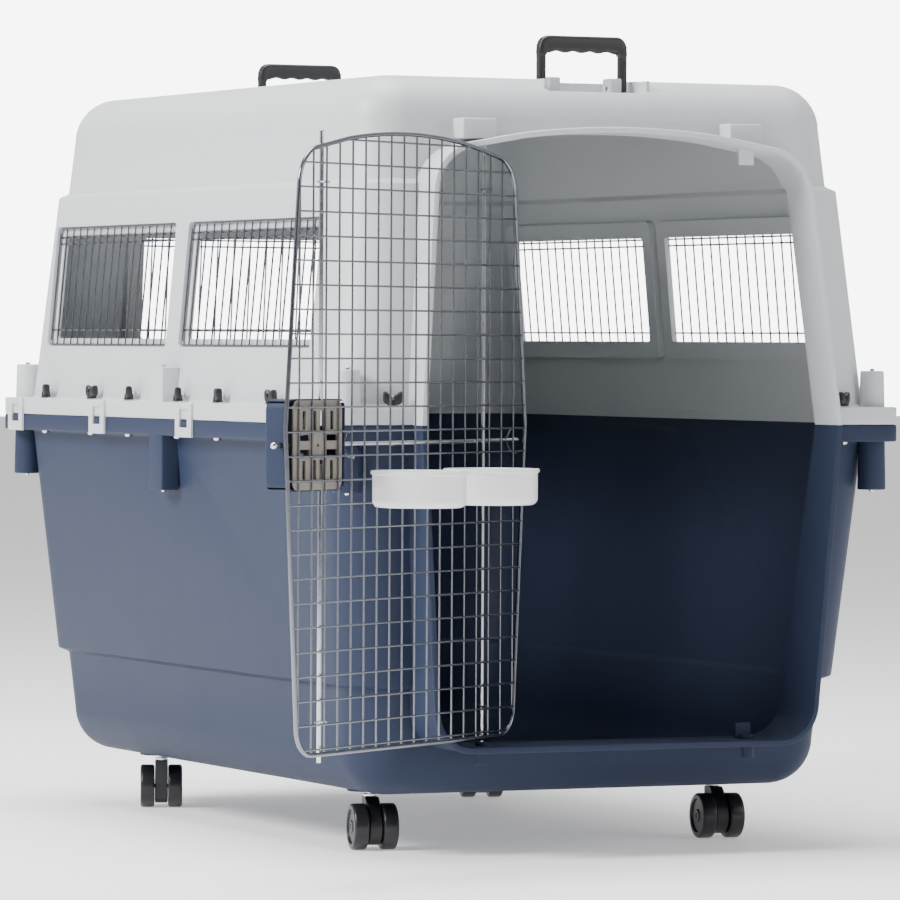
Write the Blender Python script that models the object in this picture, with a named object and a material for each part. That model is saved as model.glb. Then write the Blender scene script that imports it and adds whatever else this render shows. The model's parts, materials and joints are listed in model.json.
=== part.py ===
"""Large travel crate for a dog: two moulded shells, a wire door, wire windows and twin-wheel casters.

Metres, +Z up. The origin is the centre of the lower shell's underside, the doorway faces -Y and the
long side runs along Y. The door is modelled shut, under an empty on its hinge axis, and that empty
stands at the door's resting angle.
"""

import math

import bmesh
import bpy
from mathutils import Matrix
from mathutils import Vector

# Clearances
GAP = 0.0003
PIVOT_GAP = 0.0005

# Shells
FLANGE_WIDTH = 0.810
FLANGE_LENGTH = 1.176
SPLIT_Z = 0.473
ROOF_Z = 0.917
WALL = 0.004
FLANGE_OVERHANG = 0.020
FLANGE_CORNER = 0.024
LOWER_FLANGE = 0.022
UPPER_FLANGE = 0.023
WALL_CORNER = 0.066
EDGE_RADIUS = 0.060
LOWER_TAPER = 0.091
UPPER_TAPER = 0.094
STEP_RISE = 0.008
LOWER_STEP = 0.011
UPPER_STEP = 0.010
LOWER_STEP_Z = 0.140
UPPER_STEP_DROP = 0.136
CORNER_STEPS = 4
EDGE_STEPS = 3
TIGHTEST_CORNER = 0.004

# Doorway and the collar round it
DOORWAY_MARGIN = 0.093
DOORWAY_TOP_DROP = 0.072
DOORWAY_ARCH_RISE = 0.030
DOORWAY_SILL_Z = 0.067
DOORWAY_LOWER_TAPER = 0.072
DOORWAY_CORNER = 0.060
DOORWAY_FOOT_CORNER = 0.046
DOORWAY_CORNER_STEPS = 4
ARCH_STEPS = 3
COLLAR_DEPTH = 0.049
COLLAR_WALL = 0.006
COLLAR_UPPER_LEAN = 0.090
COLLAR_LOWER_LEAN = 0.030
COLLAR_ROOT = 0.0125

# Windows and grilles
WINDOW_BOTTOM_RISE = 0.096
WINDOW_HEIGHT = 0.168
WINDOW_REAR_MARGIN = 0.088
WINDOW_FRONT_MARGIN = 0.126
WINDOW_PILLAR = 0.044
WINDOW_SIDE_LEDGE = 0.012
WINDOW_FLAT_LEDGE = 0.0115
WINDOW_RECESS = 0.008
WINDOW_PAD = 0.006
REAR_WINDOW_LENGTH = 0.439
GRILLE_WIRE = 0.003
GRILLE_EDGE_WIRE = 0.006
GRILLE_THICKNESS = 0.005
GRILLE_PITCH = 0.052
GRILLE_RAIL_INSET = 0.018

# Posts, tie rods, clips and flange bolts
POST_RADIUS = 0.017
POST_INSET = 0.030
POST_TOP = 0.070
CORNER_POST_DROP = 0.085
MID_POST_DROP = 0.095
MID_POST_LENGTH = 0.046
MID_POST_DEPTH = 0.026
MID_POST_FROM_BOLT = 0.0557
TIE_ROD_RADIUS = 0.003
TIE_ROD_TIP = 0.003
CLIP_COUNT = 4
CLIP_REAR_END = 0.067
CLIP_FRONT_END = 0.178
CLIP_LENGTH = 0.055
CLIP_THICKNESS = 0.003
CLIP_DROP = 0.023
CLIP_SLOT_LENGTH = 0.027
CLIP_SLOT_LOW = 0.010
CLIP_SLOT_HIGH = 0.014
BOLT_BEFORE_CLIP = 0.28
BOLT_AFTER_CLIP = 0.16
FRONT_BOLT_FROM_EDGE = 0.083
BOLT_RADIUS = 0.0028
BOLT_HEAD_RADIUS = 0.0055
BOLT_HEAD_HEIGHT = 0.004
NUT_HUB_RADIUS = 0.0065
NUT_HUB_HEIGHT = 0.010
WING_LENGTH = 0.025
WING_WIDTH = 0.0095
WING_HEIGHT = 0.0195
SIDE_NUT_TURNS = (91.0, 75.0, 70.0, 70.0, 95.0, 75.0)
FRONT_NUT_TURNS = {"left": -25.0, "right": 38.0}

# Casters
CASTER_X_INSET = 0.135
CASTER_Y_INSET = 0.213
CASTER_HEIGHT = 0.078
WHEEL_RADIUS = 0.030
WHEEL_WIDTH = 0.0198
WHEEL_SIDES = 16
HOOD_WIDTH = 0.018
HOOD_TOP = 0.0106
HOOD_CLEARANCE = 0.006
CASTER_TRAIL = 0.018
AXLE_RADIUS = 0.003
STEM_RADIUS = 0.004
STEM_COLLAR_RADIUS = 0.009
STEM_REACH = 0.026
SOCKET_RADIUS = 0.011
SOCKET_HEIGHT = 0.031
PAD_RADIUS = 0.030
PAD_HEIGHT = 0.003
CASTER_TURN = {
    "front_left": math.radians(168.0),
    "front_right": math.radians(173.0),
    "rear_left": math.radians(-22.0),
    "rear_right": math.radians(-15.0),
}

# Door
DOOR_REST_ANGLE = math.radians(-146.5)
HINGE_FROM_JAMB = 0.101
HINGE_BEHIND_COLLAR = 0.051
DOOR_CLEARANCE = 0.0088
FRAME_ROD = 0.0055
MESH_OFFSET = 0.0085
MESH_THICKNESS = 0.005
MESH_WIRE = 0.003
MESH_PITCH = 0.059
MESH_WIRE_FROM_JAMB = 0.073
MESH_TOP_WIRE_DROP = 0.052
SMALLEST_CELL = 0.00008
ROD_RADIUS = 0.00275
ROD_HOLE_RADIUS = 0.0038
HINGE_BALL_RADIUS = 0.0042
ROD_TOP_REACH = 0.006
BOSS_RADIUS = 0.008
BOSS_RISE = 0.0055
BOSS_DROP = 0.024
ROD_BOTTOM_REACH = 0.005
BRACKET_WIDTH = 0.047
BRACKET_HEIGHT = 0.026
BRACKET_RISE = 0.007
BRACKET_FRONT = 0.016
BRACKET_BACK = 0.060
STOP_WIDTH = 0.022
STOP_THICKNESS = 0.0055
STOP_UPPER_DROP = 0.019
STOP_LOWER_RISE = 0.020

# Latch
LATCH_FROM_JAMB = 0.088
LATCH_Z_DROP = 0.0205
HOUSING_WIDTH = 0.130
HOUSING_HEIGHT = 0.111
HOUSING_DEPTH = 0.033
HOUSING_WALL = 0.0025
PLATE_WIDTH = 0.109
PLATE_HEIGHT = 0.108
PLATE_THICKNESS = 0.0026
PLATE_CENTRE_HOLE = 0.018
PLATE_SLOT_WIDTH = 0.018
PLATE_SLOT_HEIGHT = 0.007
LATCH_ROD_FROM_JAMB = 0.102
LATCH_TRAVEL = 0.012
SIDE_BOLT_TRAVEL = 0.006
SIDE_BOLT_OFFSET = 0.0062
SIDE_BOLT_BALL = 0.0045
SIDE_BOLT_SHORT = 0.0045
SIDE_BOLT_TIP = 0.002
SIDE_BOLT_INSIDE = 0.018
THUMB_WIDTH = 0.012
THUMB_HEIGHT = 0.010
THUMB_PROUD = 0.008
THUMB_FROM_CENTRE = 0.028

# Bowls
BOWL_RADIUS = 0.060
BOWL_HEIGHT = 0.045
BOWL_WALL = 0.0025
BOWL_LIP = 0.0022
BOWL_FROM_MESH = 0.0560
BOWL_FROM_HINGE = {"bowl_left": 0.274, "bowl_right": 0.1045}
BOWL_BASE_DROP = 0.0972
BOWL_SIDES = 20
BRACE_WIDTH = 0.016
BRACE_HEIGHT = 0.030
BRACE_SHIFT = 0.006
TONGUE_WIDTH = 0.014
TONGUE_THICKNESS = 0.003

# Handles
HANDLE_FROM_FLANGE = 0.133
HANDLE_WIDTH = 0.127
HANDLE_RISE = 0.067
HANDLE_DEPTH = 0.014
HANDLE_LEG = 0.010
HANDLE_GRIP = 0.022
HANDLE_PIVOT_DROP = 0.010
HANDLE_PIN_RADIUS = 0.003
EAR_WIDTH = 0.0165
EAR_RISE = 0.003
EAR_DEPTH = 0.024
POCKET_SIDE = 0.008
POCKET_DEPTH = 0.019
POCKET_FRONT = 0.045
POCKET_BACK = 0.078

ROUND_SIDES = 8
POST_SIDES = 12

# Worked out from the sizes above
WALL_X = FLANGE_WIDTH / 2 - FLANGE_OVERHANG
WALL_Y = FLANGE_LENGTH / 2 - FLANGE_OVERHANG
UPPER_STEP_Z = ROOF_Z - UPPER_STEP_DROP
DOORWAY_HALF = WALL_X - DOORWAY_MARGIN
DOORWAY_TOP_Z = ROOF_Z - DOORWAY_TOP_DROP
SHOULDER_Z = DOORWAY_TOP_Z - DOORWAY_ARCH_RISE
HINGE_X = -(DOORWAY_HALF - HINGE_FROM_JAMB)
HINGE_Y = -(WALL_Y + COLLAR_DEPTH - HINGE_BEHIND_COLLAR)
LATCH_X = DOORWAY_HALF - LATCH_ROD_FROM_JAMB
LATCH_FROM_HINGE = DOORWAY_HALF - LATCH_FROM_JAMB - HINGE_X
MESH_FIRST_WIRE = DOORWAY_HALF - MESH_WIRE_FROM_JAMB - HINGE_X
LATCH_Z = SPLIT_Z - LATCH_Z_DROP
HANDLE_Y = FLANGE_LENGTH / 2 - HANDLE_FROM_FLANGE
HANDLE_PIVOT_Z = ROOF_Z - HANDLE_PIVOT_DROP
CASTER_X = WALL_X - CASTER_X_INSET
CASTER_Y = WALL_Y - CASTER_Y_INSET
CLIP_PITCH = (FLANGE_LENGTH - CLIP_REAR_END - CLIP_FRONT_END) / (CLIP_COUNT - 1)
CLIP_PLACES = [FLANGE_LENGTH / 2 - CLIP_REAR_END - i * CLIP_PITCH for i in range(CLIP_COUNT)]
BOLTS_BEFORE = [y - BOLT_BEFORE_CLIP * CLIP_PITCH for y in CLIP_PLACES[:-1]]
BOLTS_AFTER = [y + BOLT_AFTER_CLIP * CLIP_PITCH for y in CLIP_PLACES[1:]]
BOLT_PLACES = sorted(BOLTS_BEFORE + BOLTS_AFTER)
BOLT_X = WALL_X + FLANGE_OVERHANG / 2
MID_POST_Y = BOLTS_AFTER[1] + MID_POST_FROM_BOLT
POST_X = FLANGE_WIDTH / 2 - POST_INSET
POST_Y = FLANGE_LENGTH / 2 - POST_INSET - GAP


# ------------------------------------------------------------------ tools
def clear_scene():
    for old in list(bpy.data.objects):
        bpy.data.objects.remove(old)


def new_collection(name):
    made = bpy.data.collections.new(name)
    bpy.context.scene.collection.children.link(made)
    return made


def principled(name, colour, roughness, metallic=0.0):
    made = bpy.data.materials.new(name)
    made.use_nodes = True
    shader = made.node_tree.nodes["Principled BSDF"]
    shader.inputs["Base Color"].default_value = (*colour, 1.0)
    shader.inputs["Roughness"].default_value = roughness
    shader.inputs["Metallic"].default_value = metallic
    return made


def add(name, shape, collection, material=None, smooth=False):
    """An object in its collection, made from a bmesh, which is freed, or from ready data."""
    data = shape
    if isinstance(shape, bmesh.types.BMesh):
        data = bpy.data.meshes.new(name)
        shape.to_mesh(data)
        shape.free()
        if smooth:
            data.shade_smooth()
            data.set_sharp_from_angle(angle=math.radians(35.0))
    made = bpy.data.objects.new(name, data)
    collection.objects.link(made)
    if material:
        data.materials.clear()
        data.materials.append(material)
    return made


def tool(name, shape):
    """A cutter or joiner: never shown, only used by Boolean modifiers."""
    made = add(name, shape, tools)
    made.hide_render = True
    made.display_type = "WIRE"
    return made


def combine(target, operand, operation):
    modifier = target.modifiers.new(f"{operation.lower()}_{operand.name}", "BOOLEAN")
    modifier.operation = operation
    modifier.object = operand
    return target


def join(target, operand):
    return combine(target, operand, "UNION")


def cut(target, operand):
    return combine(target, operand, "DIFFERENCE")


def box(low, high, matrix=None, into=None):
    """A block between two corners, in a new bmesh or added to one."""
    shape = into or bmesh.new()
    low, high = Vector(low), Vector(high)
    size = Matrix.Diagonal((*(high - low), 1.0))
    place = Matrix.Translation((low + high) / 2) @ size
    bmesh.ops.create_cube(shape, size=1.0, matrix=(matrix or Matrix()) @ place)
    return shape


def rod(start, end, radius, sides=ROUND_SIDES, into=None, turn=0.0):
    """A straight round bar between two points."""
    shape = into or bmesh.new()
    start, end = Vector(start), Vector(end)
    way = end - start
    aim = way.to_track_quat("Z", "Y").to_matrix().to_4x4()
    place = Matrix.Translation((start + end) / 2) @ aim @ Matrix.Rotation(turn, 4, "Z")
    bmesh.ops.create_cone(
        shape,
        cap_ends=True,
        segments=sides,
        radius1=radius,
        radius2=radius,
        depth=way.length,
        matrix=place,
    )
    return shape


def loft(rings, loop=False):
    """Skins a row of closed rings that have the same number of points, and caps or closes it."""
    shape = bmesh.new()
    rows = [[shape.verts.new(point) for point in ring] for ring in rings]
    pairs = list(zip(rows, rows[1:]))
    if loop:
        pairs.append((rows[-1], rows[0]))
    else:
        shape.faces.new(rows[0])
        shape.faces.new(rows[-1])
    for lower, upper in pairs:
        for i, corner in enumerate(lower):
            after = (i + 1) % len(lower)
            shape.faces.new((corner, lower[after], upper[after], upper[i]))
    bmesh.ops.recalc_face_normals(shape, faces=shape.faces)
    return shape


def circle(radius, z, sides, turn=0.0):
    angles = [turn + math.tau * i / sides for i in range(sides)]
    return [Vector((radius * math.cos(a), radius * math.sin(a), z)) for a in angles]


def turned(profile, sides, turn=0.0):
    """A solid of revolution about Z from (radius, z) pairs, capped at both ends."""
    return loft([circle(radius, z, sides, turn) for radius, z in profile])


def rounded_rectangle(half_x, half_y, radius, z):
    points = []
    for quarter, (side_x, side_y) in enumerate(((1, 1), (-1, 1), (-1, -1), (1, -1))):
        for step in range(CORNER_STEPS + 1):
            angle = math.pi / 2 * (quarter + step / CORNER_STEPS)
            x = side_x * (half_x - radius) + radius * math.cos(angle)
            y = side_y * (half_y - radius) + radius * math.sin(angle)
            points.append(Vector((x, y, z)))
    return points


def filleted(corners, steps):
    """Rounds each (x, z, radius) corner of a closed outline. Radius 0 keeps the corner."""
    outline = []
    for i, (x, z, radius) in enumerate(corners):
        here = Vector((x, z))
        before = (Vector(corners[i - 1][:2]) - here).normalized()
        after = (Vector(corners[(i + 1) % len(corners)][:2]) - here).normalized()
        if not radius:
            outline.append(here)
            continue
        half = before.angle(after) / 2
        centre = here + (before + after).normalized() * radius / math.sin(half)
        first = here + before * radius / math.tan(half) - centre
        turn = math.pi - 2 * half
        for step in range(steps + 1):
            angle = turn * step / steps
            outline.append(centre + Matrix.Rotation(angle, 2) @ first)
    return outline


def grown(outline, distance):
    """The outline moved outward by a distance, or inward by a negative one. It runs anticlockwise."""
    moved = []
    for i, here in enumerate(outline):
        along = (here - outline[i - 1]).normalized()
        onward = (outline[(i + 1) % len(outline)] - here).normalized()
        outward = Vector((along.y + onward.y, -along.x - onward.x)).normalized()
        share = max(outward.dot(Vector((along.y, -along.x))), 0.5)
        moved.append(here + outward * distance / share)
    return moved


def clipped(cell, outline):
    """The part of a convex cell that lies inside a convex, anticlockwise outline."""
    for i, start in enumerate(outline):
        edge = outline[(i + 1) % len(outline)] - start
        kept = []
        for j, here in enumerate(cell):
            last = cell[j - 1]
            side_last = edge.cross(last - start)
            side_here = edge.cross(here - start)
            if (side_last < 0) != (side_here < 0):
                kept.append(last.lerp(here, side_last / (side_last - side_here)))
            if side_here >= 0:
                kept.append(here)
        cell = kept
        if len(cell) < 3:
            return []
    return cell


def area(points):
    return abs(sum(points[i - 1].cross(p) for i, p in enumerate(points))) / 2


def plate(name, outline, holes, thickness):
    """A flat plate in its own XY plane, as a filled 2D curve whose inner outlines are holes."""
    curve = bpy.data.curves.new(name, "CURVE")
    curve.dimensions = "2D"
    curve.fill_mode = "BOTH"
    curve.extrude = thickness / 2
    for points in [outline, *holes]:
        spline = curve.splines.new("POLY")
        spline.points.add(len(points) - 1)
        for place, point in zip(spline.points, points):
            place.co = (point.x, point.y, 0.0, 1.0)
        spline.use_cyclic_u = True
    return curve


def rectangle(low_x, low_y, high_x, high_y):
    corners = ((low_x, low_y), (high_x, low_y), (high_x, high_y), (low_x, high_y))
    return [Vector(corner) for corner in corners]


def cells_between(lines_x, lines_y, wire):
    """The open cells of a crossed grid of wires, as rectangles."""
    half = wire / 2
    found = []
    for x0, x1 in zip(lines_x, lines_x[1:]):
        for y0, y1 in zip(lines_y, lines_y[1:]):
            found.append(rectangle(x0 + half, y0 + half, x1 - half, y1 - half))
    return found


# ------------------------------------------------------------------ shells
def lower_inset(z):
    """How far the lower wall stands in from its own line at the split."""
    return LOWER_TAPER * (SPLIT_Z - z) + (LOWER_STEP if z < LOWER_STEP_Z else 0.0)


def upper_inset(z):
    return UPPER_TAPER * (z - SPLIT_Z) + (UPPER_STEP if z > UPPER_STEP_Z else 0.0)


def edge_round(inset_of, end_z, toward, offset):
    """Rings of the rounded floor or roof edge, from the flat out to the wall."""
    centre_z = end_z + toward * EDGE_RADIUS
    rim = inset_of(centre_z) + EDGE_RADIUS
    rings = []
    for step in range(EDGE_STEPS + 1):
        angle = math.pi / 2 * step / EDGE_STEPS
        inset = rim - (EDGE_RADIUS - offset) * math.sin(angle)
        z = centre_z - toward * (EDGE_RADIUS - offset) * math.cos(angle)
        rings.append(wall_ring(inset, z, inset - inset_of(centre_z)))
    return rings


def wall_ring(inset, z, shrink):
    radius = max(WALL_CORNER - shrink, TIGHTEST_CORNER)
    return rounded_rectangle(WALL_X - inset, WALL_Y - inset, radius, z)


def step_rings(inset_of, step_z, toward, offset):
    """The small ledge that runs round a wall, from the flat's side to the flange's side."""
    near = step_z - toward * STEP_RISE / 2
    far = step_z + toward * STEP_RISE / 2
    return [wall_ring(inset_of(z) + offset, z, offset) for z in (near, far)]


def shell_wall(inset_of, end_z, step_z, toward, offset):
    return edge_round(inset_of, end_z, toward, offset) + step_rings(inset_of, step_z, toward, offset)


def flange_ring(z):
    return rounded_rectangle(FLANGE_WIDTH / 2, FLANGE_LENGTH / 2, FLANGE_CORNER, z)


def shell_body(inset_of, end_z, step_z, toward, flange):
    """Outer wall, flange and inner wall of one shell as a single skin, open at the split."""
    meeting_z = SPLIT_Z - toward * GAP / 2
    flange_z = SPLIT_Z - toward * flange
    outer = shell_wall(inset_of, end_z, step_z, toward, 0.0)
    outer.append(wall_ring(inset_of(flange_z), flange_z, 0.0))
    rim = [flange_ring(flange_z), flange_ring(meeting_z)]
    inner = shell_wall(inset_of, end_z, step_z, toward, WALL)
    inner.append(wall_ring(WALL, meeting_z, WALL))
    return loft(outer + rim + inner[::-1])


def doorway_outline(steps=DOORWAY_CORNER_STEPS):
    """The clear opening, anticlockwise in X and Z, seen from the front."""
    foot = DOORWAY_HALF - DOORWAY_LOWER_TAPER * (SPLIT_Z - DOORWAY_SILL_Z)
    shoulder = DOORWAY_HALF - UPPER_TAPER * (SHOULDER_Z - SPLIT_Z)
    corners = [
        (-foot, DOORWAY_SILL_Z, DOORWAY_FOOT_CORNER),
        (foot, DOORWAY_SILL_Z, DOORWAY_FOOT_CORNER),
        (DOORWAY_HALF, SPLIT_Z, 0.0),
        (shoulder, SHOULDER_Z, DOORWAY_CORNER),
    ]
    for step in range(1, 2 * ARCH_STEPS):
        share = 1.0 - step / ARCH_STEPS
        place = share * abs(share) ** 0.3
        corners.append((shoulder * place, DOORWAY_TOP_Z - DOORWAY_ARCH_RISE * place**2, 0.0))
    corners.append((-shoulder, SHOULDER_Z, DOORWAY_CORNER))
    corners.append((-DOORWAY_HALF, SPLIT_Z, 0.0))
    return filleted(corners, steps)


def front_wall_y(z):
    """The front wall's outer face at a height, with its ledge and its rounded edges."""
    inset_of = upper_inset if z > SPLIT_Z else lower_inset
    end_z, toward = (ROOF_Z, -1.0) if z > SPLIT_Z else (0.0, 1.0)
    into_edge = EDGE_RADIUS - (z - end_z) * toward
    if into_edge > 0.0:
        square = min(into_edge / EDGE_RADIUS, 1.0) ** 2
        return -WALL_Y + inset_of(z) + EDGE_RADIUS * (1.0 - math.sqrt(1.0 - square))
    return -WALL_Y + inset_of(z)


def collar_front_y(z):
    lean = COLLAR_UPPER_LEAN if z > SPLIT_Z else COLLAR_LOWER_LEAN
    return -WALL_Y - COLLAR_DEPTH + lean * abs(z - SPLIT_Z)


def collar_ring(distance, depth_of):
    outline = grown(doorway_outline(), distance)
    return [Vector((p.x, depth_of(p.y), p.y)) for p in outline]


def collar_tube():
    """The short tube round the doorway, from inside the front wall out to its free rim."""
    def root(z):
        return front_wall_y(z) + COLLAR_ROOT
    rings = [
        collar_ring(COLLAR_WALL, root),
        collar_ring(COLLAR_WALL, collar_front_y),
        collar_ring(0.0, collar_front_y),
        collar_ring(0.0, root),
    ]
    return loft(rings, loop=True)


def doorway_prism(distance, front_y):
    back = -WALL_Y + EDGE_RADIUS * 2
    outline = grown(doorway_outline(), distance)
    return loft([[Vector((p.x, y, p.y)) for p in outline] for y in (front_y, back)])


def wall_frame(toward, along, rise):
    """A frame on an upper wall: X along the wall, Y up it, Z out of it, at a height over the split."""
    outward = Vector(toward)
    half = WALL_X if abs(outward.x) > 0.5 else WALL_Y
    origin = outward * (half - UPPER_TAPER * rise)
    origin += Vector((0, 0, 1)).cross(outward) * along
    origin.z = SPLIT_Z + rise
    lean = math.atan(UPPER_TAPER)
    normal = outward * math.cos(lean) + Vector((0, 0, math.sin(lean)))
    upward = Vector((0, 0, math.cos(lean))) - outward * math.sin(lean)
    side = upward.cross(normal)
    return Matrix.Translation(origin) @ Matrix((side, upward, normal)).transposed().to_4x4()


def side_window_places():
    """Length and centres of the front and rear windows along Y."""
    length = (2 * WALL_Y - WINDOW_REAR_MARGIN - WINDOW_FRONT_MARGIN - WINDOW_PILLAR) / 2
    rear = WALL_Y - WINDOW_REAR_MARGIN - length / 2
    front = -WALL_Y + WINDOW_FRONT_MARGIN + length / 2
    return length, {"rear": rear, "front": front}


def windows():
    """Name, frame and length of each window."""
    rise = WINDOW_BOTTOM_RISE + WINDOW_HEIGHT / 2
    length, centres = side_window_places()
    found = []
    for place, y in centres.items():
        found.append((f"left_{place}", wall_frame((-1, 0, 0), -y, rise), length))
        found.append((f"right_{place}", wall_frame((1, 0, 0), y, rise), length))
    found.append(("rear", wall_frame((0, 1, 0), 0.0, rise), REAR_WINDOW_LENGTH))
    return found


def window_tool(suffix, grow, low, high):
    """One tool with a block for each window, wider than the recess by grow on every side."""
    shape = bmesh.new()
    for _, frame, length in windows():
        half_x = length / 2 + grow[0]
        half_y = WINDOW_HEIGHT / 2 + grow[1]
        box((-half_x, -half_y, low), (half_x, half_y, high), frame, shape)
    return tool(f"window_{suffix}", shape)


def post_places():
    corners = [(x * POST_X, y * POST_Y) for x in (-1, 1) for y in (-1, 1)]
    mid_x = FLANGE_WIDTH / 2 - MID_POST_DEPTH / 2
    return corners, [(x * mid_x, MID_POST_Y) for x in (-1, 1)]


def post_tools(name, corner_z, middle_z):
    """Corner posts and mid-side posts of one shell, each a tool of its own to join."""
    corners, middles = post_places()
    made = []
    for i, (x, y) in enumerate(corners):
        shape = rod((x, y, corner_z[0]), (x, y, corner_z[1]), POST_RADIUS, POST_SIDES)
        made.append(tool(f"{name}_post_{i}", shape))
    for i, (x, y) in enumerate(middles):
        half = Vector((MID_POST_DEPTH / 2 - GAP, MID_POST_LENGTH / 2, 0.0))
        low = Vector((x, y, middle_z[0])) - half
        high = Vector((x, y, middle_z[1])) + half
        made.append(tool(f"{name}_mid_post_{i}", box(low, high)))
    return made


def bolt_places():
    """Position and turn of each flange bolt, its nut left where it tightened."""
    found = []
    for side, x in (("left", -BOLT_X), ("right", BOLT_X)):
        for i, (y, turn) in enumerate(zip(BOLT_PLACES, SIDE_NUT_TURNS)):
            found.append((f"bolt_{side}_{i + 1}", x, y, math.radians(turn)))
        front_x = math.copysign(FLANGE_WIDTH / 2 - FRONT_BOLT_FROM_EDGE, x)
        front_y = -(WALL_Y + FLANGE_OVERHANG / 2)
        found.append((f"bolt_front_{side}", front_x, front_y, math.radians(FRONT_NUT_TURNS[side])))
    return found


def flange_holes(name):
    """Bolt and tie-rod holes, the same through both shells."""
    shape = bmesh.new()
    deep = MID_POST_DROP + POST_RADIUS
    for _, x, y, _ in bolt_places():
        hole = BOLT_RADIUS + 2 * GAP
        rod((x, y, SPLIT_Z - deep), (x, y, SPLIT_Z + deep), hole, into=shape)
    corners, middles = post_places()
    for x, y in corners + middles:
        hole = TIE_ROD_RADIUS + 2 * GAP
        rod((x, y, SPLIT_Z - deep), (x, y, SPLIT_Z + deep), hole, into=shape)
    return tool(name, shape)


def clip_tools():
    """Tabs on the upper flange that drape over the lower one, each with a slot in it."""
    tabs = []
    slots = bmesh.new()
    out = FLANGE_WIDTH / 2 + GAP
    for side in (-1, 1):
        for i, y in enumerate(CLIP_PLACES):
            low_x, high_x = sorted((side * out, side * (out + CLIP_THICKNESS)))
            low = (low_x, y - CLIP_LENGTH / 2, SPLIT_Z - CLIP_DROP)
            high = (high_x, y + CLIP_LENGTH / 2, SPLIT_Z + UPPER_FLANGE - GAP)
            tab = box(low, high)
            root_x, tab_x = sorted((side * (out - CLIP_THICKNESS), side * (out + GAP)))
            root_reach = CLIP_LENGTH / 2 - GAP
            root_low = (root_x, y - root_reach, SPLIT_Z + CLIP_SLOT_HIGH + GAP)
            root_top = SPLIT_Z + UPPER_FLANGE - 2 * GAP
            root = box(root_low, (tab_x, y + root_reach, root_top))
            tabs.append(tool(f"clip_{side}_{i}", tab))
            tabs.append(tool(f"clip_root_{side}_{i}", root))
            slot_low = (low_x - GAP, y - CLIP_SLOT_LENGTH / 2, SPLIT_Z - CLIP_SLOT_LOW)
            slot_high = (high_x + GAP, y + CLIP_SLOT_LENGTH / 2, SPLIT_Z + CLIP_SLOT_HIGH)
            box(slot_low, slot_high, into=slots)
    return tabs, tool("clip_slots", slots)


def half_of_collar(name, toward):
    """The collar on one side of the split. Toward is 1 below it and -1 above."""
    half = tool(f"{name}_collar", collar_tube())
    near = SPLIT_Z - toward * GAP / 2
    low_z, high_z = sorted((near, near - toward * ROOF_Z))
    reach = FLANGE_LENGTH
    keeper = tool(f"{name}_collar_keep", box((-reach, -reach, low_z), (reach, 0.0, high_z)))
    return combine(half, keeper, "INTERSECT")


def open_the_front(shell, name, toward):
    """Cuts a hole in the front wall and its flange, and lines it with the collar."""
    hole = doorway_prism(COLLAR_WALL / 2, -WALL_Y - 2 * COLLAR_DEPTH)
    cut(shell, tool(f"{name}_wall_hole", hole))
    join(shell, half_of_collar(name, toward))


def door_rod_holes(name, low_z, high_z):
    shape = bmesh.new()
    for x in (HINGE_X, LATCH_X):
        rod((x, HINGE_Y, low_z), (x, HINGE_Y, high_z), ROD_HOLE_RADIUS, into=shape)
    return tool(name, shape)


def stop_tab(name, low_z, high_z):
    """A tab behind the latch side of the door, which it meets when it shuts."""
    front = HINGE_Y + MESH_OFFSET + MESH_THICKNESS / 2 + 3 * PIVOT_GAP
    low = (LATCH_X - STOP_WIDTH / 2, front, low_z)
    high = (LATCH_X + STOP_WIDTH / 2, front + STOP_THICKNESS, high_z)
    return tool(name, box(low, high))


def doorway_height(x, top):
    """Height of the doorway's upper or lower edge over a place across it."""
    outline = doorway_outline()
    for i, here in enumerate(outline):
        last = outline[i - 1]
        upper = min(here.y, last.y) > SPLIT_Z
        crosses = (last.x - x) * (here.x - x) <= 0 and last.x != here.x
        if crosses and upper == top:
            return last.lerp(here, (x - last.x) / (here.x - last.x)).y
    return SHOULDER_Z if top else DOORWAY_SILL_Z


def make_lower_shell():
    shape = shell_body(lower_inset, 0.0, LOWER_STEP_Z, 1.0, LOWER_FLANGE)
    shell = add("lower_shell", shape, crate, blue_plastic, smooth=True)
    open_the_front(shell, "lower", 1.0)
    inside_z = SPLIT_Z - LOWER_FLANGE / 2
    corner_z = (SPLIT_Z - CORNER_POST_DROP, inside_z)
    for post in post_tools("lower", corner_z, (SPLIT_Z - MID_POST_DROP, inside_z)):
        join(shell, post)
    sockets = bmesh.new()
    for name, (x, y) in caster_places().items():
        pad = rod((x, y, -PAD_HEIGHT), (x, y, WALL / 2), PAD_RADIUS, POST_SIDES)
        join(shell, tool(f"{name}_pad", pad))
        well = rod((x, y, WALL / 2), (x, y, SOCKET_HEIGHT), SOCKET_RADIUS, POST_SIDES)
        join(shell, tool(f"{name}_well", well))
        top = STEM_REACH + PIVOT_GAP
        rod((x, y, -SOCKET_HEIGHT), (x, y, top), STEM_RADIUS + PIVOT_GAP, into=sockets)
    for i, x in enumerate((HINGE_X, LATCH_X)):
        low = (x, HINGE_Y, DOORWAY_SILL_Z - BOSS_DROP)
        high = (x, HINGE_Y, DOORWAY_SILL_Z + BOSS_RISE)
        join(shell, tool(f"sill_boss_{i}", rod(low, high, BOSS_RADIUS, POST_SIDES)))
    sill = DOORWAY_SILL_Z
    join(shell, stop_tab("lower_stop", sill - COLLAR_WALL / 2, sill + STOP_LOWER_RISE))
    cut(shell, tool("caster_sockets", sockets))
    cut(shell, flange_holes("lower_flange_holes"))
    bottom = sill - BOSS_DROP + WALL
    cut(shell, door_rod_holes("sill_rod_holes", bottom, sill + STOP_LOWER_RISE))
    return shell


def handle_places():
    return {"handle_front": -HANDLE_Y, "handle_rear": HANDLE_Y}


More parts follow.
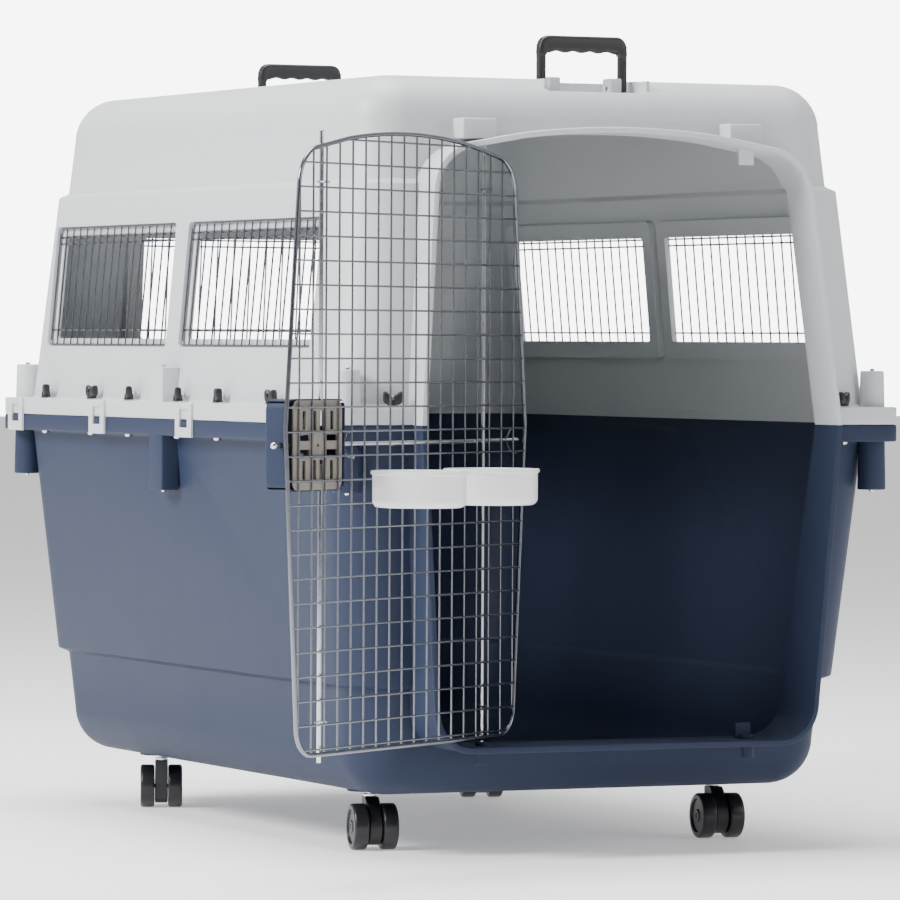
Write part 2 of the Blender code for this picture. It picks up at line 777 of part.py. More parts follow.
def add_handle_pockets(shell):
    """Sunken pockets in the roof, each with a pair of ears that carry the handle's pins."""
    half_x = HANDLE_WIDTH / 2 + POCKET_SIDE
    floor_z = ROOF_Z - POCKET_DEPTH
    inner = bmesh.new()
    holes = bmesh.new()
    ears = []
    for name, y in handle_places().items():
        side = math.copysign(1.0, y)
        low_y, high_y = sorted((y + side * POCKET_FRONT, y - side * POCKET_BACK))
        tray_low = (-half_x - WALL, low_y - (0 if side < 0 else WALL), floor_z - WALL)
        tray_high = (half_x + WALL, high_y + (WALL if side < 0 else 0), ROOF_Z - GAP * 3)
        join(shell, tool(f"{name}_tray", box(tray_low, tray_high)))
        front_y, back_y = (low_y - WALL, high_y) if side < 0 else (low_y, high_y + WALL)
        box((-half_x, front_y, floor_z), (half_x, back_y, ROOF_Z + POCKET_DEPTH), into=inner)
        for ear_side in (-1, 1):
            outer = ear_side * (HANDLE_WIDTH / 2 - HANDLE_LEG - 2 * PIVOT_GAP)
            low_x, high_x = sorted((outer, outer - ear_side * EAR_WIDTH))
            low = (low_x, y - EAR_DEPTH / 2, floor_z - WALL / 2)
            high = (high_x, y + EAR_DEPTH / 2, ROOF_Z + EAR_RISE)
            ears.append(tool(f"{name}_ear_{ear_side}", box(low, high)))
            pin_hole = HANDLE_PIN_RADIUS + PIVOT_GAP
            start = (low_x - GAP * 3, y, HANDLE_PIVOT_Z)
            rod(start, (high_x + GAP * 3, y, HANDLE_PIVOT_Z), pin_hole, into=holes)
    cut(shell, tool("handle_pockets", inner))
    for ear in ears:
        join(shell, ear)
    cut(shell, tool("handle_pin_holes", holes))


def make_upper_shell():
    shape = shell_body(upper_inset, ROOF_Z, UPPER_STEP_Z, -1.0, UPPER_FLANGE)
    shell = add("upper_shell", shape, crate, grey_plastic, smooth=True)
    open_the_front(shell, "upper", -1.0)
    post_z = (SPLIT_Z + UPPER_FLANGE / 2, SPLIT_Z + POST_TOP)
    for post in post_tools("upper", post_z, post_z):
        join(shell, post)
    bracket_z = DOORWAY_TOP_Z - BRACKET_HEIGHT / 2 + BRACKET_RISE / 2
    for i, x in enumerate((HINGE_X, LATCH_X)):
        low = (x - BRACKET_WIDTH / 2, -WALL_Y + BRACKET_FRONT, bracket_z)
        high = (x + BRACKET_WIDTH / 2, -WALL_Y + BRACKET_BACK, bracket_z + BRACKET_HEIGHT)
        join(shell, tool(f"bracket_{i}", box(low, high)))
    edge = doorway_height(LATCH_X, top=True)
    join(shell, stop_tab("upper_stop", edge - STOP_UPPER_DROP, edge + COLLAR_WALL / 2))
    pad_grow = (WINDOW_SIDE_LEDGE, WINDOW_FLAT_LEDGE)
    pad_depth = WINDOW_RECESS + WINDOW_PAD
    join(shell, window_tool("pads", pad_grow, -pad_depth, -WALL / 4))
    cut(shell, window_tool("recesses", (0.0, 0.0), -WINDOW_RECESS, EDGE_RADIUS))
    ledge = (-WINDOW_SIDE_LEDGE, -WINDOW_FLAT_LEDGE)
    cut(shell, window_tool("openings", ledge, -2 * pad_depth, EDGE_RADIUS))
    tabs, slots = clip_tools()
    for tab in tabs:
        join(shell, tab)
    cut(shell, slots)
    add_handle_pockets(shell)
    cut(shell, flange_holes("upper_flange_holes"))
    rod_low = edge - STOP_UPPER_DROP
    cut(shell, door_rod_holes("top_rod_holes", rod_low, edge + 2 * COLLAR_WALL))
    return shell


# ------------------------------------------------------------------ windows and fasteners
def make_grilles():
    for name, frame, length in windows():
        half_x = length / 2 - 2 * GAP
        half_y = WINDOW_HEIGHT / 2 - 2 * GAP
        count = round(2 * half_x / GRILLE_PITCH)
        pitch = 2 * (half_x - GRILLE_EDGE_WIRE + GRILLE_WIRE / 2) / count
        first = -half_x + GRILLE_EDGE_WIRE - GRILLE_WIRE / 2
        lines_x = [first + i * pitch for i in range(count + 1)]
        edge = half_y - GRILLE_EDGE_WIRE + GRILLE_WIRE / 2
        rail = half_y - GRILLE_RAIL_INSET
        holes = cells_between(lines_x, [-edge, -rail, rail, edge], GRILLE_WIRE)
        outline = rectangle(-half_x, -half_y, half_x, half_y)
        curve = plate(f"grille_{name}", outline, holes, GRILLE_THICKNESS)
        grille = add(f"grille_{name}", curve, crate, zinc_wire)
        sunk = -WINDOW_RECESS + GRILLE_THICKNESS / 2 + GAP
        grille.matrix_world = frame @ Matrix.Translation((0.0, 0.0, sunk))


def make_tie_rods():
    corners, middles = post_places()
    names = ("front_left", "rear_left", "front_right", "rear_right")
    top = SPLIT_Z + POST_TOP + TIE_ROD_TIP
    for name, (x, y) in zip(names, corners):
        shape = rod((0, 0, -CORNER_POST_DROP - TIE_ROD_TIP), (0, 0, top - SPLIT_Z), TIE_ROD_RADIUS)
        made = add(f"tie_rod_{name}", shape, crate, bright_steel, smooth=True)
        made.location = (x, y, SPLIT_Z)
    for name, (x, y) in zip(("left", "right"), middles):
        shape = rod((0, 0, -MID_POST_DROP - TIE_ROD_TIP), (0, 0, top - SPLIT_Z), TIE_ROD_RADIUS)
        made = add(f"tie_rod_mid_{name}", shape, crate, bright_steel, smooth=True)
        made.location = (x, y, SPLIT_Z)


def make_bolts():
    """A steel bolt through both flanges and its black wing nut, as one solid about its own axis."""
    head_top = -LOWER_FLANGE - GAP
    seat = UPPER_FLANGE + GAP
    profile = [
        (BOLT_HEAD_RADIUS, head_top - BOLT_HEAD_HEIGHT),
        (BOLT_HEAD_RADIUS, head_top),
        (BOLT_RADIUS, head_top),
        (BOLT_RADIUS, seat),
        (NUT_HUB_RADIUS, seat),
        (NUT_HUB_RADIUS, seat + NUT_HUB_HEIGHT),
    ]
    base = tool("bolt_pattern", turned(profile, ROUND_SIDES))
    half = Vector((WING_LENGTH / 2, WING_WIDTH / 2, 0.0))
    low = Vector((0.0, 0.0, seat + GAP)) - half
    high = Vector((0.0, 0.0, seat + WING_HEIGHT)) + half
    join(base, tool("wing_pattern", box(low, high)))
    graph = bpy.context.evaluated_depsgraph_get()
    shared = bpy.data.meshes.new_from_object(base.evaluated_get(graph))
    for name, x, y, turn in bolt_places():
        made = add(name, shared, crate, black_plastic)
        made.location = (x, y, SPLIT_Z)
        made.rotation_euler = (0.0, 0.0, turn)


# ------------------------------------------------------------------ casters
def caster_places():
    found = {}
    for end, y in (("front", -CASTER_Y), ("rear", CASTER_Y)):
        for side, x in (("left", -CASTER_X), ("right", CASTER_X)):
            found[f"{end}_{side}"] = (x, y)
    return found


def hood_outline(axle_z):
    """Side view of the moulded body between the two wheels, trail along Y."""
    lower = WHEEL_RADIUS - HOOD_CLEARANCE
    points = [(-STEM_COLLAR_RADIUS, -HOOD_TOP), (-STEM_COLLAR_RADIUS, -HOOD_TOP - WALL)]
    for step in range(8):
        angle = math.radians(190.0 + 210.0 * step / 7)
        points.append((CASTER_TRAIL + lower * math.cos(angle), axle_z + lower * math.sin(angle)))
    points.append((STEM_COLLAR_RADIUS + STEM_RADIUS, -HOOD_TOP))
    return points


def make_caster(place, x, y):
    axle_z = -CASTER_HEIGHT + WHEEL_RADIUS
    pivot = bpy.data.objects.new(f"caster_{place}_pivot", None)
    crate.objects.link(pivot)
    pivot.location = (x, y, 0.0)
    pivot.rotation_euler = (0.0, 0.0, CASTER_TURN[place])
    stem_profile = [
        (STEM_COLLAR_RADIUS, -HOOD_TOP + GAP),
        (STEM_COLLAR_RADIUS, -HOOD_TOP + WALL),
        (STEM_RADIUS, -HOOD_TOP + WALL),
        (STEM_RADIUS, STEM_REACH),
    ]
    stem = add(f"caster_{place}_stem", turned(stem_profile, ROUND_SIDES), crate, bright_steel)
    rings = []
    for side in (-HOOD_WIDTH / 2, HOOD_WIDTH / 2):
        rings.append([Vector((side, a, b)) for a, b in hood_outline(axle_z)])
    hood = add(f"caster_{place}_body", loft(rings), crate, black_plastic)
    reach = HOOD_WIDTH / 2 + WHEEL_WIDTH
    axle = rod((-reach, CASTER_TRAIL, axle_z), (reach, CASTER_TRAIL, axle_z), AXLE_RADIUS)
    axle_tool = tool(f"caster_{place}_axle", axle)
    axle_tool.parent = pivot
    join(hood, axle_tool)
    vertex_radius = WHEEL_RADIUS / math.cos(math.pi / WHEEL_SIDES)
    bore = AXLE_RADIUS + PIVOT_GAP
    chamfer = HOOD_CLEARANCE / 2
    profile = [
        (bore, 0.0),
        (vertex_radius - chamfer, 0.0),
        (vertex_radius, chamfer),
        (vertex_radius, WHEEL_WIDTH - chamfer),
        (vertex_radius - chamfer, WHEEL_WIDTH),
        (bore, WHEEL_WIDTH),
    ]
    facet = math.pi / WHEEL_SIDES
    rings = [circle(radius, z, WHEEL_SIDES, facet) for radius, z in profile]
    for side, turn in (("left", -math.pi / 2), ("right", math.pi / 2)):
        wheel = add(f"caster_{place}_wheel_{side}", loft(rings, loop=True), crate, black_plastic)
        inner = math.copysign(HOOD_WIDTH / 2 + PIVOT_GAP, turn)
        wheel.location = (inner, CASTER_TRAIL, axle_z)
        wheel.rotation_euler = (0.0, turn, 0.0)
        wheel.parent = pivot
    for piece in (stem, hood):
        piece.parent = pivot


# ------------------------------------------------------------------ door
def on_door(piece):
    piece.parent = hinge
    return piece


def door_outline(inset):
    """The door's outline at a distance inside the doorway, measured from the hinge axis."""
    return [Vector((p.x - HINGE_X, p.y)) for p in grown(doorway_outline(), -inset)]


def span(outline, axis):
    values = [point[axis] for point in outline]
    return min(values), max(values)


def make_door_grid():
    outer = door_outline(DOOR_CLEARANCE)
    inner = door_outline(DOOR_CLEARANCE + FRAME_ROD)
    low_u, high_u = span(inner, 0)
    low_z, high_z = span(inner, 1)
    lines_u = [MESH_FIRST_WIRE]
    while lines_u[0] - MESH_PITCH > low_u:
        lines_u.insert(0, lines_u[0] - MESH_PITCH)
    lines_z = [DOORWAY_TOP_Z - MESH_TOP_WIRE_DROP]
    while lines_z[0] - MESH_PITCH > low_z:
        lines_z.insert(0, lines_z[0] - MESH_PITCH)
    lines_u = [low_u - MESH_PITCH, *lines_u, high_u + MESH_PITCH]
    lines_z = [low_z - MESH_PITCH, *lines_z, high_z + MESH_PITCH]
    cells = [clipped(cell, inner) for cell in cells_between(lines_u, lines_z, MESH_WIRE)]
    holes = [cell for cell in cells if cell and area(cell) > SMALLEST_CELL]
    grid = add("door_grid", plate("door_grid", outer, holes, MESH_THICKNESS), crate, zinc_wire)
    grid.location = (0.0, MESH_OFFSET, 0.0)
    grid.rotation_euler = (math.pi / 2, 0.0, 0.0)
    return on_door(grid)


def make_hinge_rod():
    bottom = DOORWAY_SILL_Z + BOSS_RISE - ROD_BOTTOM_REACH
    top = doorway_height(HINGE_X, top=True) + ROD_TOP_REACH
    ball = DOORWAY_SILL_Z + BOSS_RISE + HINGE_BALL_RADIUS + PIVOT_GAP
    profile = [
        (ROD_RADIUS, bottom),
        (ROD_RADIUS, ball - HINGE_BALL_RADIUS),
        (HINGE_BALL_RADIUS, ball - HINGE_BALL_RADIUS / 3),
        (HINGE_BALL_RADIUS, ball + HINGE_BALL_RADIUS / 3),
        (ROD_RADIUS, ball + HINGE_BALL_RADIUS),
        (ROD_RADIUS, top),
    ]
    return on_door(add("hinge_rod", turned(profile, ROUND_SIDES), crate, bright_steel, smooth=True))


def latch_front_y():
    """The face of the latch that lies just behind the mesh."""
    return MESH_OFFSET - MESH_THICKNESS / 2 - GAP


def make_back_plate():
    half_x, half_z = PLATE_WIDTH / 2, PLATE_HEIGHT / 2
    outline = rectangle(-half_x, -half_z, half_x, half_z)
    half_hole = PLATE_CENTRE_HOLE / 2
    holes = [rectangle(-half_hole, -half_hole, half_hole, half_hole)]
    for row in (-1, 1):
        for column in (-1, 1):
            for level in (0.45, 0.75):
                x = column * PLATE_WIDTH / 4
                z = row * level * half_z
                half_w, half_h = PLATE_SLOT_WIDTH / 2, PLATE_SLOT_HEIGHT / 2
                holes.append(rectangle(x - half_w, z - half_h, x + half_w, z + half_h))
    curve = plate("latch_back_plate", outline, holes, PLATE_THICKNESS)
    made = add("latch_back_plate", curve, crate, beige_plastic)
    made.location = (LATCH_FROM_HINGE, latch_front_y() - PLATE_THICKNESS / 2, LATCH_Z)
    made.rotation_euler = (math.pi / 2, 0.0, 0.0)
    return on_door(made)


def make_latch_housing():
    face = latch_front_y() - PLATE_THICKNESS - GAP
    half_x, half_z = HOUSING_WIDTH / 2, HOUSING_HEIGHT / 2
    low = Vector((LATCH_FROM_HINGE - half_x, face - HOUSING_DEPTH, LATCH_Z - half_z))
    high = Vector((LATCH_FROM_HINGE + half_x, face, LATCH_Z + half_z))
    made = add("latch_housing", box(low, high), crate, blue_plastic)
    wall = Vector((HOUSING_WALL, HOUSING_WALL, HOUSING_WALL))
    hollow_high = high - wall
    hollow_high.y = face + HOUSING_WALL
    cut(made, on_door(tool("latch_hollow", box(low + wall, hollow_high))))
    passages = bmesh.new()
    x = LATCH_X - HINGE_X
    for side in (-1, 1):
        start = LATCH_Z + side * (half_z - 2 * HOUSING_WALL)
        end = LATCH_Z + side * (half_z + HOUSING_WALL)
        rod((x, 0, start), (x, 0, end), ROD_HOLE_RADIUS, into=passages)
        near = LATCH_FROM_HINGE + side * (half_x - 2 * HOUSING_WALL)
        far = LATCH_FROM_HINGE + side * (half_x + HOUSING_WALL)
        y = -SIDE_BOLT_OFFSET
        rod((near, y, LATCH_Z), (far, y, LATCH_Z), ROD_HOLE_RADIUS, into=passages)
        slot_half = THUMB_WIDTH / 2 + PIVOT_GAP
        open_z = LATCH_Z + side * (THUMB_FROM_CENTRE + THUMB_HEIGHT / 2 + PIVOT_GAP)
        shut_z = LATCH_Z + side * (THUMB_FROM_CENTRE - THUMB_HEIGHT / 2 - PIVOT_GAP - LATCH_TRAVEL)
        low_z, high_z = sorted((open_z, shut_z))
        slot_low = (x - slot_half, low.y - HOUSING_WALL, low_z)
        box(slot_low, (x + slot_half, low.y + 2 * HOUSING_WALL, high_z), into=passages)
    cut(made, on_door(tool("latch_passages", passages)))
    return on_door(made)


def make_latch_rods():
    """Upright rods that reach into the collar's top and bottom, each with its thumb slide."""
    face = latch_front_y() - PLATE_THICKNESS - GAP - HOUSING_DEPTH
    top = doorway_height(LATCH_X, top=True) + ROD_TOP_REACH
    bottom = DOORWAY_SILL_Z + BOSS_RISE - ROD_BOTTOM_REACH
    x = LATCH_X - HINGE_X
    for name, side, tip in (("upper", 1, top), ("lower", -1, bottom)):
        start = LATCH_Z + side * (THUMB_FROM_CENTRE - THUMB_HEIGHT / 2)
        shape = rod((x, 0.0, start), (x, 0.0, tip), ROD_RADIUS)
        on_door(add(f"latch_{name}_rod", shape, crate, bright_steel, smooth=True))
        middle = LATCH_Z + side * THUMB_FROM_CENTRE
        low = (x - THUMB_WIDTH / 2, face - THUMB_PROUD, middle - THUMB_HEIGHT / 2)
        high = (x + THUMB_WIDTH / 2, -ROD_RADIUS - GAP, middle + THUMB_HEIGHT / 2)
        on_door(add(f"latch_{name}_thumb", box(low, high), crate, beige_plastic))


def make_side_bolts():
    """Level bolts at the latch's height: a short one with a ball, and a long one to the hinge side."""
    low_u, high_u = span(door_outline(0.0), 0)
    y = -SIDE_BOLT_OFFSET
    start = LATCH_FROM_HINGE + HOUSING_WIDTH / 2 - SIDE_BOLT_INSIDE
    ball = high_u - SIDE_BOLT_SHORT - 2 * SIDE_BOLT_BALL
    profile = [
        (ROD_RADIUS, 0.0),
        (ROD_RADIUS, ball - start),
        (SIDE_BOLT_BALL, ball - start + SIDE_BOLT_BALL * 2 / 3),
        (SIDE_BOLT_BALL, ball - start + SIDE_BOLT_BALL * 4 / 3),
        (ROD_RADIUS, ball - start + 2 * SIDE_BOLT_BALL),
    ]
    short = add("latch_side_bolt", turned(profile, ROUND_SIDES), crate, bright_steel, smooth=True)
    short.location = (start, y, LATCH_Z)
    short.rotation_euler = (0.0, math.pi / 2, 0.0)
    on_door(short)
    inside = LATCH_FROM_HINGE - HOUSING_WIDTH / 2 + SIDE_BOLT_INSIDE
    tip = low_u + SIDE_BOLT_SHORT + SIDE_BOLT_TIP
    long = rod((inside, y, LATCH_Z), (tip, y, LATCH_Z), ROD_RADIUS)
    on_door(add("latch_long_bolt", long, crate, bright_steel, smooth=True))


def make_bowls():
    """Round cups that hang on braces, on the inner face of the door."""
    base_z = SPLIT_Z - BOWL_BASE_DROP
    mesh_face = MESH_OFFSET + MESH_THICKNESS / 2
    middle_y = mesh_face + BOWL_FROM_MESH + MESH_OFFSET
    wall_radius = BOWL_RADIUS - BOWL_LIP
    floor_radius = wall_radius - 2 * BOWL_WALL
    profile = [
        (floor_radius, 0.0),
        (wall_radius, 2 * BOWL_WALL),
        (wall_radius, BOWL_HEIGHT - 2 * BOWL_LIP),
        (BOWL_RADIUS, BOWL_HEIGHT - 2 * BOWL_LIP),
        (BOWL_RADIUS, BOWL_HEIGHT),
        (wall_radius - BOWL_WALL, BOWL_HEIGHT),
        (wall_radius - BOWL_WALL, 3 * BOWL_WALL),
        (floor_radius - BOWL_WALL, BOWL_WALL),
    ]
    for name, u in BOWL_FROM_HINGE.items():
        bowl = add(name, turned(profile, BOWL_SIDES), crate, white_plastic, smooth=True)
        bowl.location = (u, middle_y, base_z)
        tongue_z = BOWL_HEIGHT - 2 * BOWL_LIP - PIVOT_GAP
        tongue_y = -wall_radius + BOWL_WALL
        back = mesh_face + TONGUE_THICKNESS + PIVOT_GAP - middle_y
        low = (-TONGUE_WIDTH / 2, back, tongue_z - BRACE_HEIGHT / 2)
        tongue = tool(f"{name}_tongue", box(low, (TONGUE_WIDTH / 2, tongue_y, tongue_z)))
        tongue.location = (u - BRACE_SHIFT, middle_y, base_z)
        join(bowl, on_door(tongue))
        on_door(bowl)
        middle = u - BRACE_SHIFT
        low = (middle - BRACE_WIDTH / 2, mesh_face + GAP, base_z)
        high = (middle + BRACE_WIDTH / 2, mesh_face + TONGUE_THICKNESS, base_z + BRACE_HEIGHT)
        brace = add(f"{name}_brace", box(low, high), crate, white_plastic)
        on_door(brace)


# ------------------------------------------------------------------ handles
def make_handles():
    """Folding carry handles. Each turns about the pins in its own legs."""
    half = HANDLE_WIDTH / 2
    for name, y in handle_places().items():
        pivot = bpy.data.objects.new(f"{name}_pivot", None)
        crate.objects.link(pivot)
        pivot.location = (0.0, y, HANDLE_PIVOT_Z)
        low = (-half, -HANDLE_DEPTH / 2, HANDLE_RISE - HANDLE_GRIP)
        handle = add(name, box(low, (half, HANDLE_DEPTH / 2, HANDLE_RISE)), crate, black_plastic)
        handle.parent = pivot
        for side in (-1, 1):
            low_x, high_x = sorted((side * half, side * (half - HANDLE_LEG)))
            depth = HANDLE_LEG / 2 + PIVOT_GAP
            low = (low_x, -depth, -HANDLE_LEG / 2)
            leg = box(low, (high_x, depth, HANDLE_RISE - HANDLE_GRIP / 2))
            inner = side * (half - HANDLE_LEG / 2)
            tip = side * (half - HANDLE_LEG - EAR_WIDTH)
            pin = rod((inner, 0.0, 0.0), (tip, 0.0, 0.0), HANDLE_PIN_RADIUS)
            for label, shape in (("leg", leg), ("pin", pin)):
                joined = tool(f"{name}_{label}_{side}", shape)
                joined.parent = pivot
                join(handle, joined)


clear_scene()
crate = new_collection("dog_crate")
tools = new_collection("dog_crate_tools")
grey_plastic = principled("grey_plastic", (0.58, 0.62, 0.64), 0.45)
blue_plastic = principled("blue_plastic", (0.07, 0.09, 0.14), 0.45)
black_plastic = principled("black_plastic", (0.012, 0.012, 0.014), 0.45)
white_plastic = principled("white_plastic", (0.78, 0.78, 0.80), 0.35)
beige_plastic = principled("beige_plastic", (0.46, 0.43, 0.38), 0.5)
zinc_wire = principled("zinc_wire", (0.55, 0.56, 0.58), 0.3, 1.0)
bright_steel = principled("bright_steel", (0.66, 0.66, 0.68), 0.22, 1.0)

hinge = bpy.data.objects.new("door_hinge", None)
crate.objects.link(hinge)
hinge.location = (HINGE_X, HINGE_Y, 0.0)
hinge.rotation_euler = (0.0, 0.0, DOOR_REST_ANGLE)

make_lower_shell()
make_upper_shell()
make_grilles()
make_tie_rods()
make_bolts()
for corner, (corner_x, corner_y) in caster_places().items():
    make_caster(corner, corner_x, corner_y)
make_door_grid()
make_hinge_rod()
make_back_plate()
make_latch_housing()
make_latch_rods()
make_side_bolts()
make_bowls()
make_handles()
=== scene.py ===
"""Looks for the dog crate: finer shells, real round wires, finishes, and a plain studio round them.

Metres, +Z up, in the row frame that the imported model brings: the origin is the centre of the lower
shell's underside, the doorway faces -Y, and the door rests open, turned about its own hinge rod.
"""

from __future__ import annotations

import json
import logging
import math
from collections.abc import Callable, Iterable, Sequence
from dataclasses import dataclass
from dataclasses import field
from enum import Enum

import bmesh
import bpy
from mathutils import Matrix
from mathutils import Vector

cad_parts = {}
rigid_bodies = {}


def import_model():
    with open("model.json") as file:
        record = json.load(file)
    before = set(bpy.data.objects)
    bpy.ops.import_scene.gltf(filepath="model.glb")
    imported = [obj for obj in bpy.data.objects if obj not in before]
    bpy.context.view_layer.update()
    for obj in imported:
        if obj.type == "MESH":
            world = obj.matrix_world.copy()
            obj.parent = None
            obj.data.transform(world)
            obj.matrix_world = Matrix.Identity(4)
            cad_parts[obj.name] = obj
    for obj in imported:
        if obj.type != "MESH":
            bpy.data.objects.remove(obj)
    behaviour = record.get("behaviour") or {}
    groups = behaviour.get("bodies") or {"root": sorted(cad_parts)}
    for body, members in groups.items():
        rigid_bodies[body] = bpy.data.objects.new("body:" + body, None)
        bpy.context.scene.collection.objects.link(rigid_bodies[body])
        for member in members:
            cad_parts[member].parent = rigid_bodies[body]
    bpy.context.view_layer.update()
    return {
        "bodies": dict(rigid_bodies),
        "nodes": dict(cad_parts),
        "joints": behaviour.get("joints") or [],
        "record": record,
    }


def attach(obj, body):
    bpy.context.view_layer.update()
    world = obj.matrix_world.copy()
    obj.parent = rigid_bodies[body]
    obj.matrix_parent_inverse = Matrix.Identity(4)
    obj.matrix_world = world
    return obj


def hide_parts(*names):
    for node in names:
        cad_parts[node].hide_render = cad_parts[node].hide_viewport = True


LOG = logging.getLogger("dog_crate")

Outline = list[Vector]
Profile = Sequence[tuple[float, float]]


class Slot(Enum):
    """The record's material slots."""

    GREY = "grey_plastic"
    BLUE = "blue_plastic"
    BLACK = "black_plastic"
    WHITE = "white_plastic"
    BEIGE = "beige_plastic"
    WIRE = "zinc_wire"
    STEEL = "bright_steel"


class Body(Enum):
    """The CAD bodies that pieces ride on, apart from those of the casters."""

    CRATE = "crate"
    DOOR = "door"


# ------------------------------------------------------------------ sizes
@dataclass(frozen=True)
class ShellSizes:
    """Both shells. Heights are over the lower shell's underside."""

    flange_width: float = 0.810
    flange_length: float = 1.176
    overhang: float = 0.020
    split: float = 0.473
    roof: float = 0.917
    wall: float = 0.004
    gap: float = 0.0003
    flange_corner: float = 0.024
    lower_flange: float = 0.022
    upper_flange: float = 0.023
    wall_corner: float = 0.066
    edge_radius: float = 0.060
    lower_taper: float = 0.091
    upper_taper: float = 0.094
    ledge_rise: float = 0.008
    lower_ledge: float = 0.011
    upper_ledge: float = 0.010
    lower_ledge_z: float = 0.140
    upper_ledge_drop: float = 0.136

    @property
    def wall_x(self) -> float:
        """Half the width over the walls at the split."""
        return self.flange_width / 2 - self.overhang

    @property
    def wall_y(self) -> float:
        """Half the length over the walls at the split."""
        return self.flange_length / 2 - self.overhang

    @property
    def upper_ledge_z(self) -> float:
        """Height of the upper shell's ledge."""
        return self.roof - self.upper_ledge_drop


@dataclass(frozen=True)
class DoorwaySizes:
    """The doorway and the collar that stands out round it."""

    margin: float = 0.093
    top_drop: float = 0.072
    arch_rise: float = 0.030
    sill: float = 0.067
    lower_taper: float = 0.072
    corner: float = 0.060
    foot_corner: float = 0.046
    depth: float = 0.049
    wall: float = 0.006
    upper_lean: float = 0.090
    lower_lean: float = 0.030
    root: float = 0.0125
    lip: float = 0.0018


@dataclass(frozen=True)
class WindowSizes:
    """The window recesses and their grilles."""

    bottom: float = 0.096
    height: float = 0.168
    rear_margin: float = 0.088
    front_margin: float = 0.126
    pillar: float = 0.044
    side_ledge: float = 0.012
    flat_ledge: float = 0.0115
    recess: float = 0.008
    pad: float = 0.006
    rear_length: float = 0.439
    corner: float = 0.007
    pitch: float = 0.026
    wire: float = 0.0012
    edge_wire: float = 0.0017
    rails: tuple[float, ...] = (0.012, 0.021)


@dataclass(frozen=True)
class FittingSizes:
    """Posts, tie rods, clips and flange bolts."""

    post_radius: float = 0.017
    post_inset: float = 0.030
    post_top: float = 0.070
    post_drop: float = 0.085
    mid_drop: float = 0.095
    mid_length: float = 0.046
    mid_depth: float = 0.026
    mid_from_bolt: float = 0.0557
    rod: float = 0.003
    clip_count: int = 4
    clip_rear: float = 0.067
    clip_front: float = 0.178
    clip_length: float = 0.055
    clip_thick: float = 0.003
    clip_drop: float = 0.023
    slot_length: float = 0.027
    slot_low: float = 0.010
    slot_high: float = 0.014
    before_clip: float = 0.28
    after_clip: float = 0.16
    front_bolt: float = 0.083
    bolt: float = 0.0028


@dataclass(frozen=True)
class DoorSizes:
    """The wire door, its rods and its latch, measured from the hinge axis."""

    rest_turn: float = math.radians(-146.5)
    hinge_x: float = -0.191
    hinge_behind: float = 0.022
    clearance: float = 0.0088
    frame_rod: float = 0.00275
    mesh_v: float = 0.0085
    wire: float = 0.00125
    pitch: float = 0.0295
    first_wire: float = 0.410
    top_wire_drop: float = 0.052
    rod: float = 0.00275
    latch_rod_u: float = 0.381
    latch_u: float = 0.395
    latch_drop: float = 0.0205
    housing: tuple[float, float, float] = (0.130, 0.033, 0.111)
    housing_wall: float = 0.0025
    plate: tuple[float, float, float] = (0.109, 0.0026, 0.108)
    bolt_v: float = -0.0062


@dataclass(frozen=True)
class CasterSizes:
    """Twin-wheel casters."""

    x_inset: float = 0.135
    y_inset: float = 0.213
    height: float = 0.078
    wheel: float = 0.030
    wheel_width: float = 0.0198
    hood_width: float = 0.018
    hood_top: float = 0.0106
    trail: float = 0.018
    gap: float = 0.0005
    stem: float = 0.004
    reach: float = 0.026
    turns: tuple[tuple[str, float], ...] = (
        ("front_left", math.radians(168.0)),
        ("front_right", math.radians(173.0)),
        ("rear_left", math.radians(-22.0)),
        ("rear_right", math.radians(-15.0)),
    )


@dataclass(frozen=True)
class HandleSizes:
    """Folding carry handles and their roof pockets."""

    from_flange: float = 0.133
    width: float = 0.127
    rise: float = 0.067
    depth: float = 0.014
    leg: float = 0.010
    grip: float = 0.022
    pivot_drop: float = 0.010
    pin: float = 0.003
    ear_width: float = 0.0165
    ear_rise: float = 0.003
    ear_depth: float = 0.024
    pocket_side: float = 0.008
    pocket_depth: float = 0.019
    pocket_front: float = 0.045
    pocket_back: float = 0.078


SHELL = ShellSizes()
DOORWAY = DoorwaySizes()
WINDOW = WindowSizes()
FITTING = FittingSizes()
DOOR = DoorSizes()
CASTER = CasterSizes()
HANDLE = HandleSizes()


# ------------------------------------------------------------------ finishes
def to_linear(colour: str) -> tuple[float, float, float, float]:
    """Turns an sRGB hex colour into linear values.

    Args:
        colour: Six hex digits after a hash.

    Returns:
        Linear red, green, blue and an alpha of one.
    """
    parts = [int(colour[i : i + 2], 16) / 255 for i in (1, 3, 5)]
    red, green, blue = (c / 12.92 if c <= 0.04045 else ((c + 0.055) / 1.055) ** 2.4 for c in parts)
    return red, green, blue, 1.0


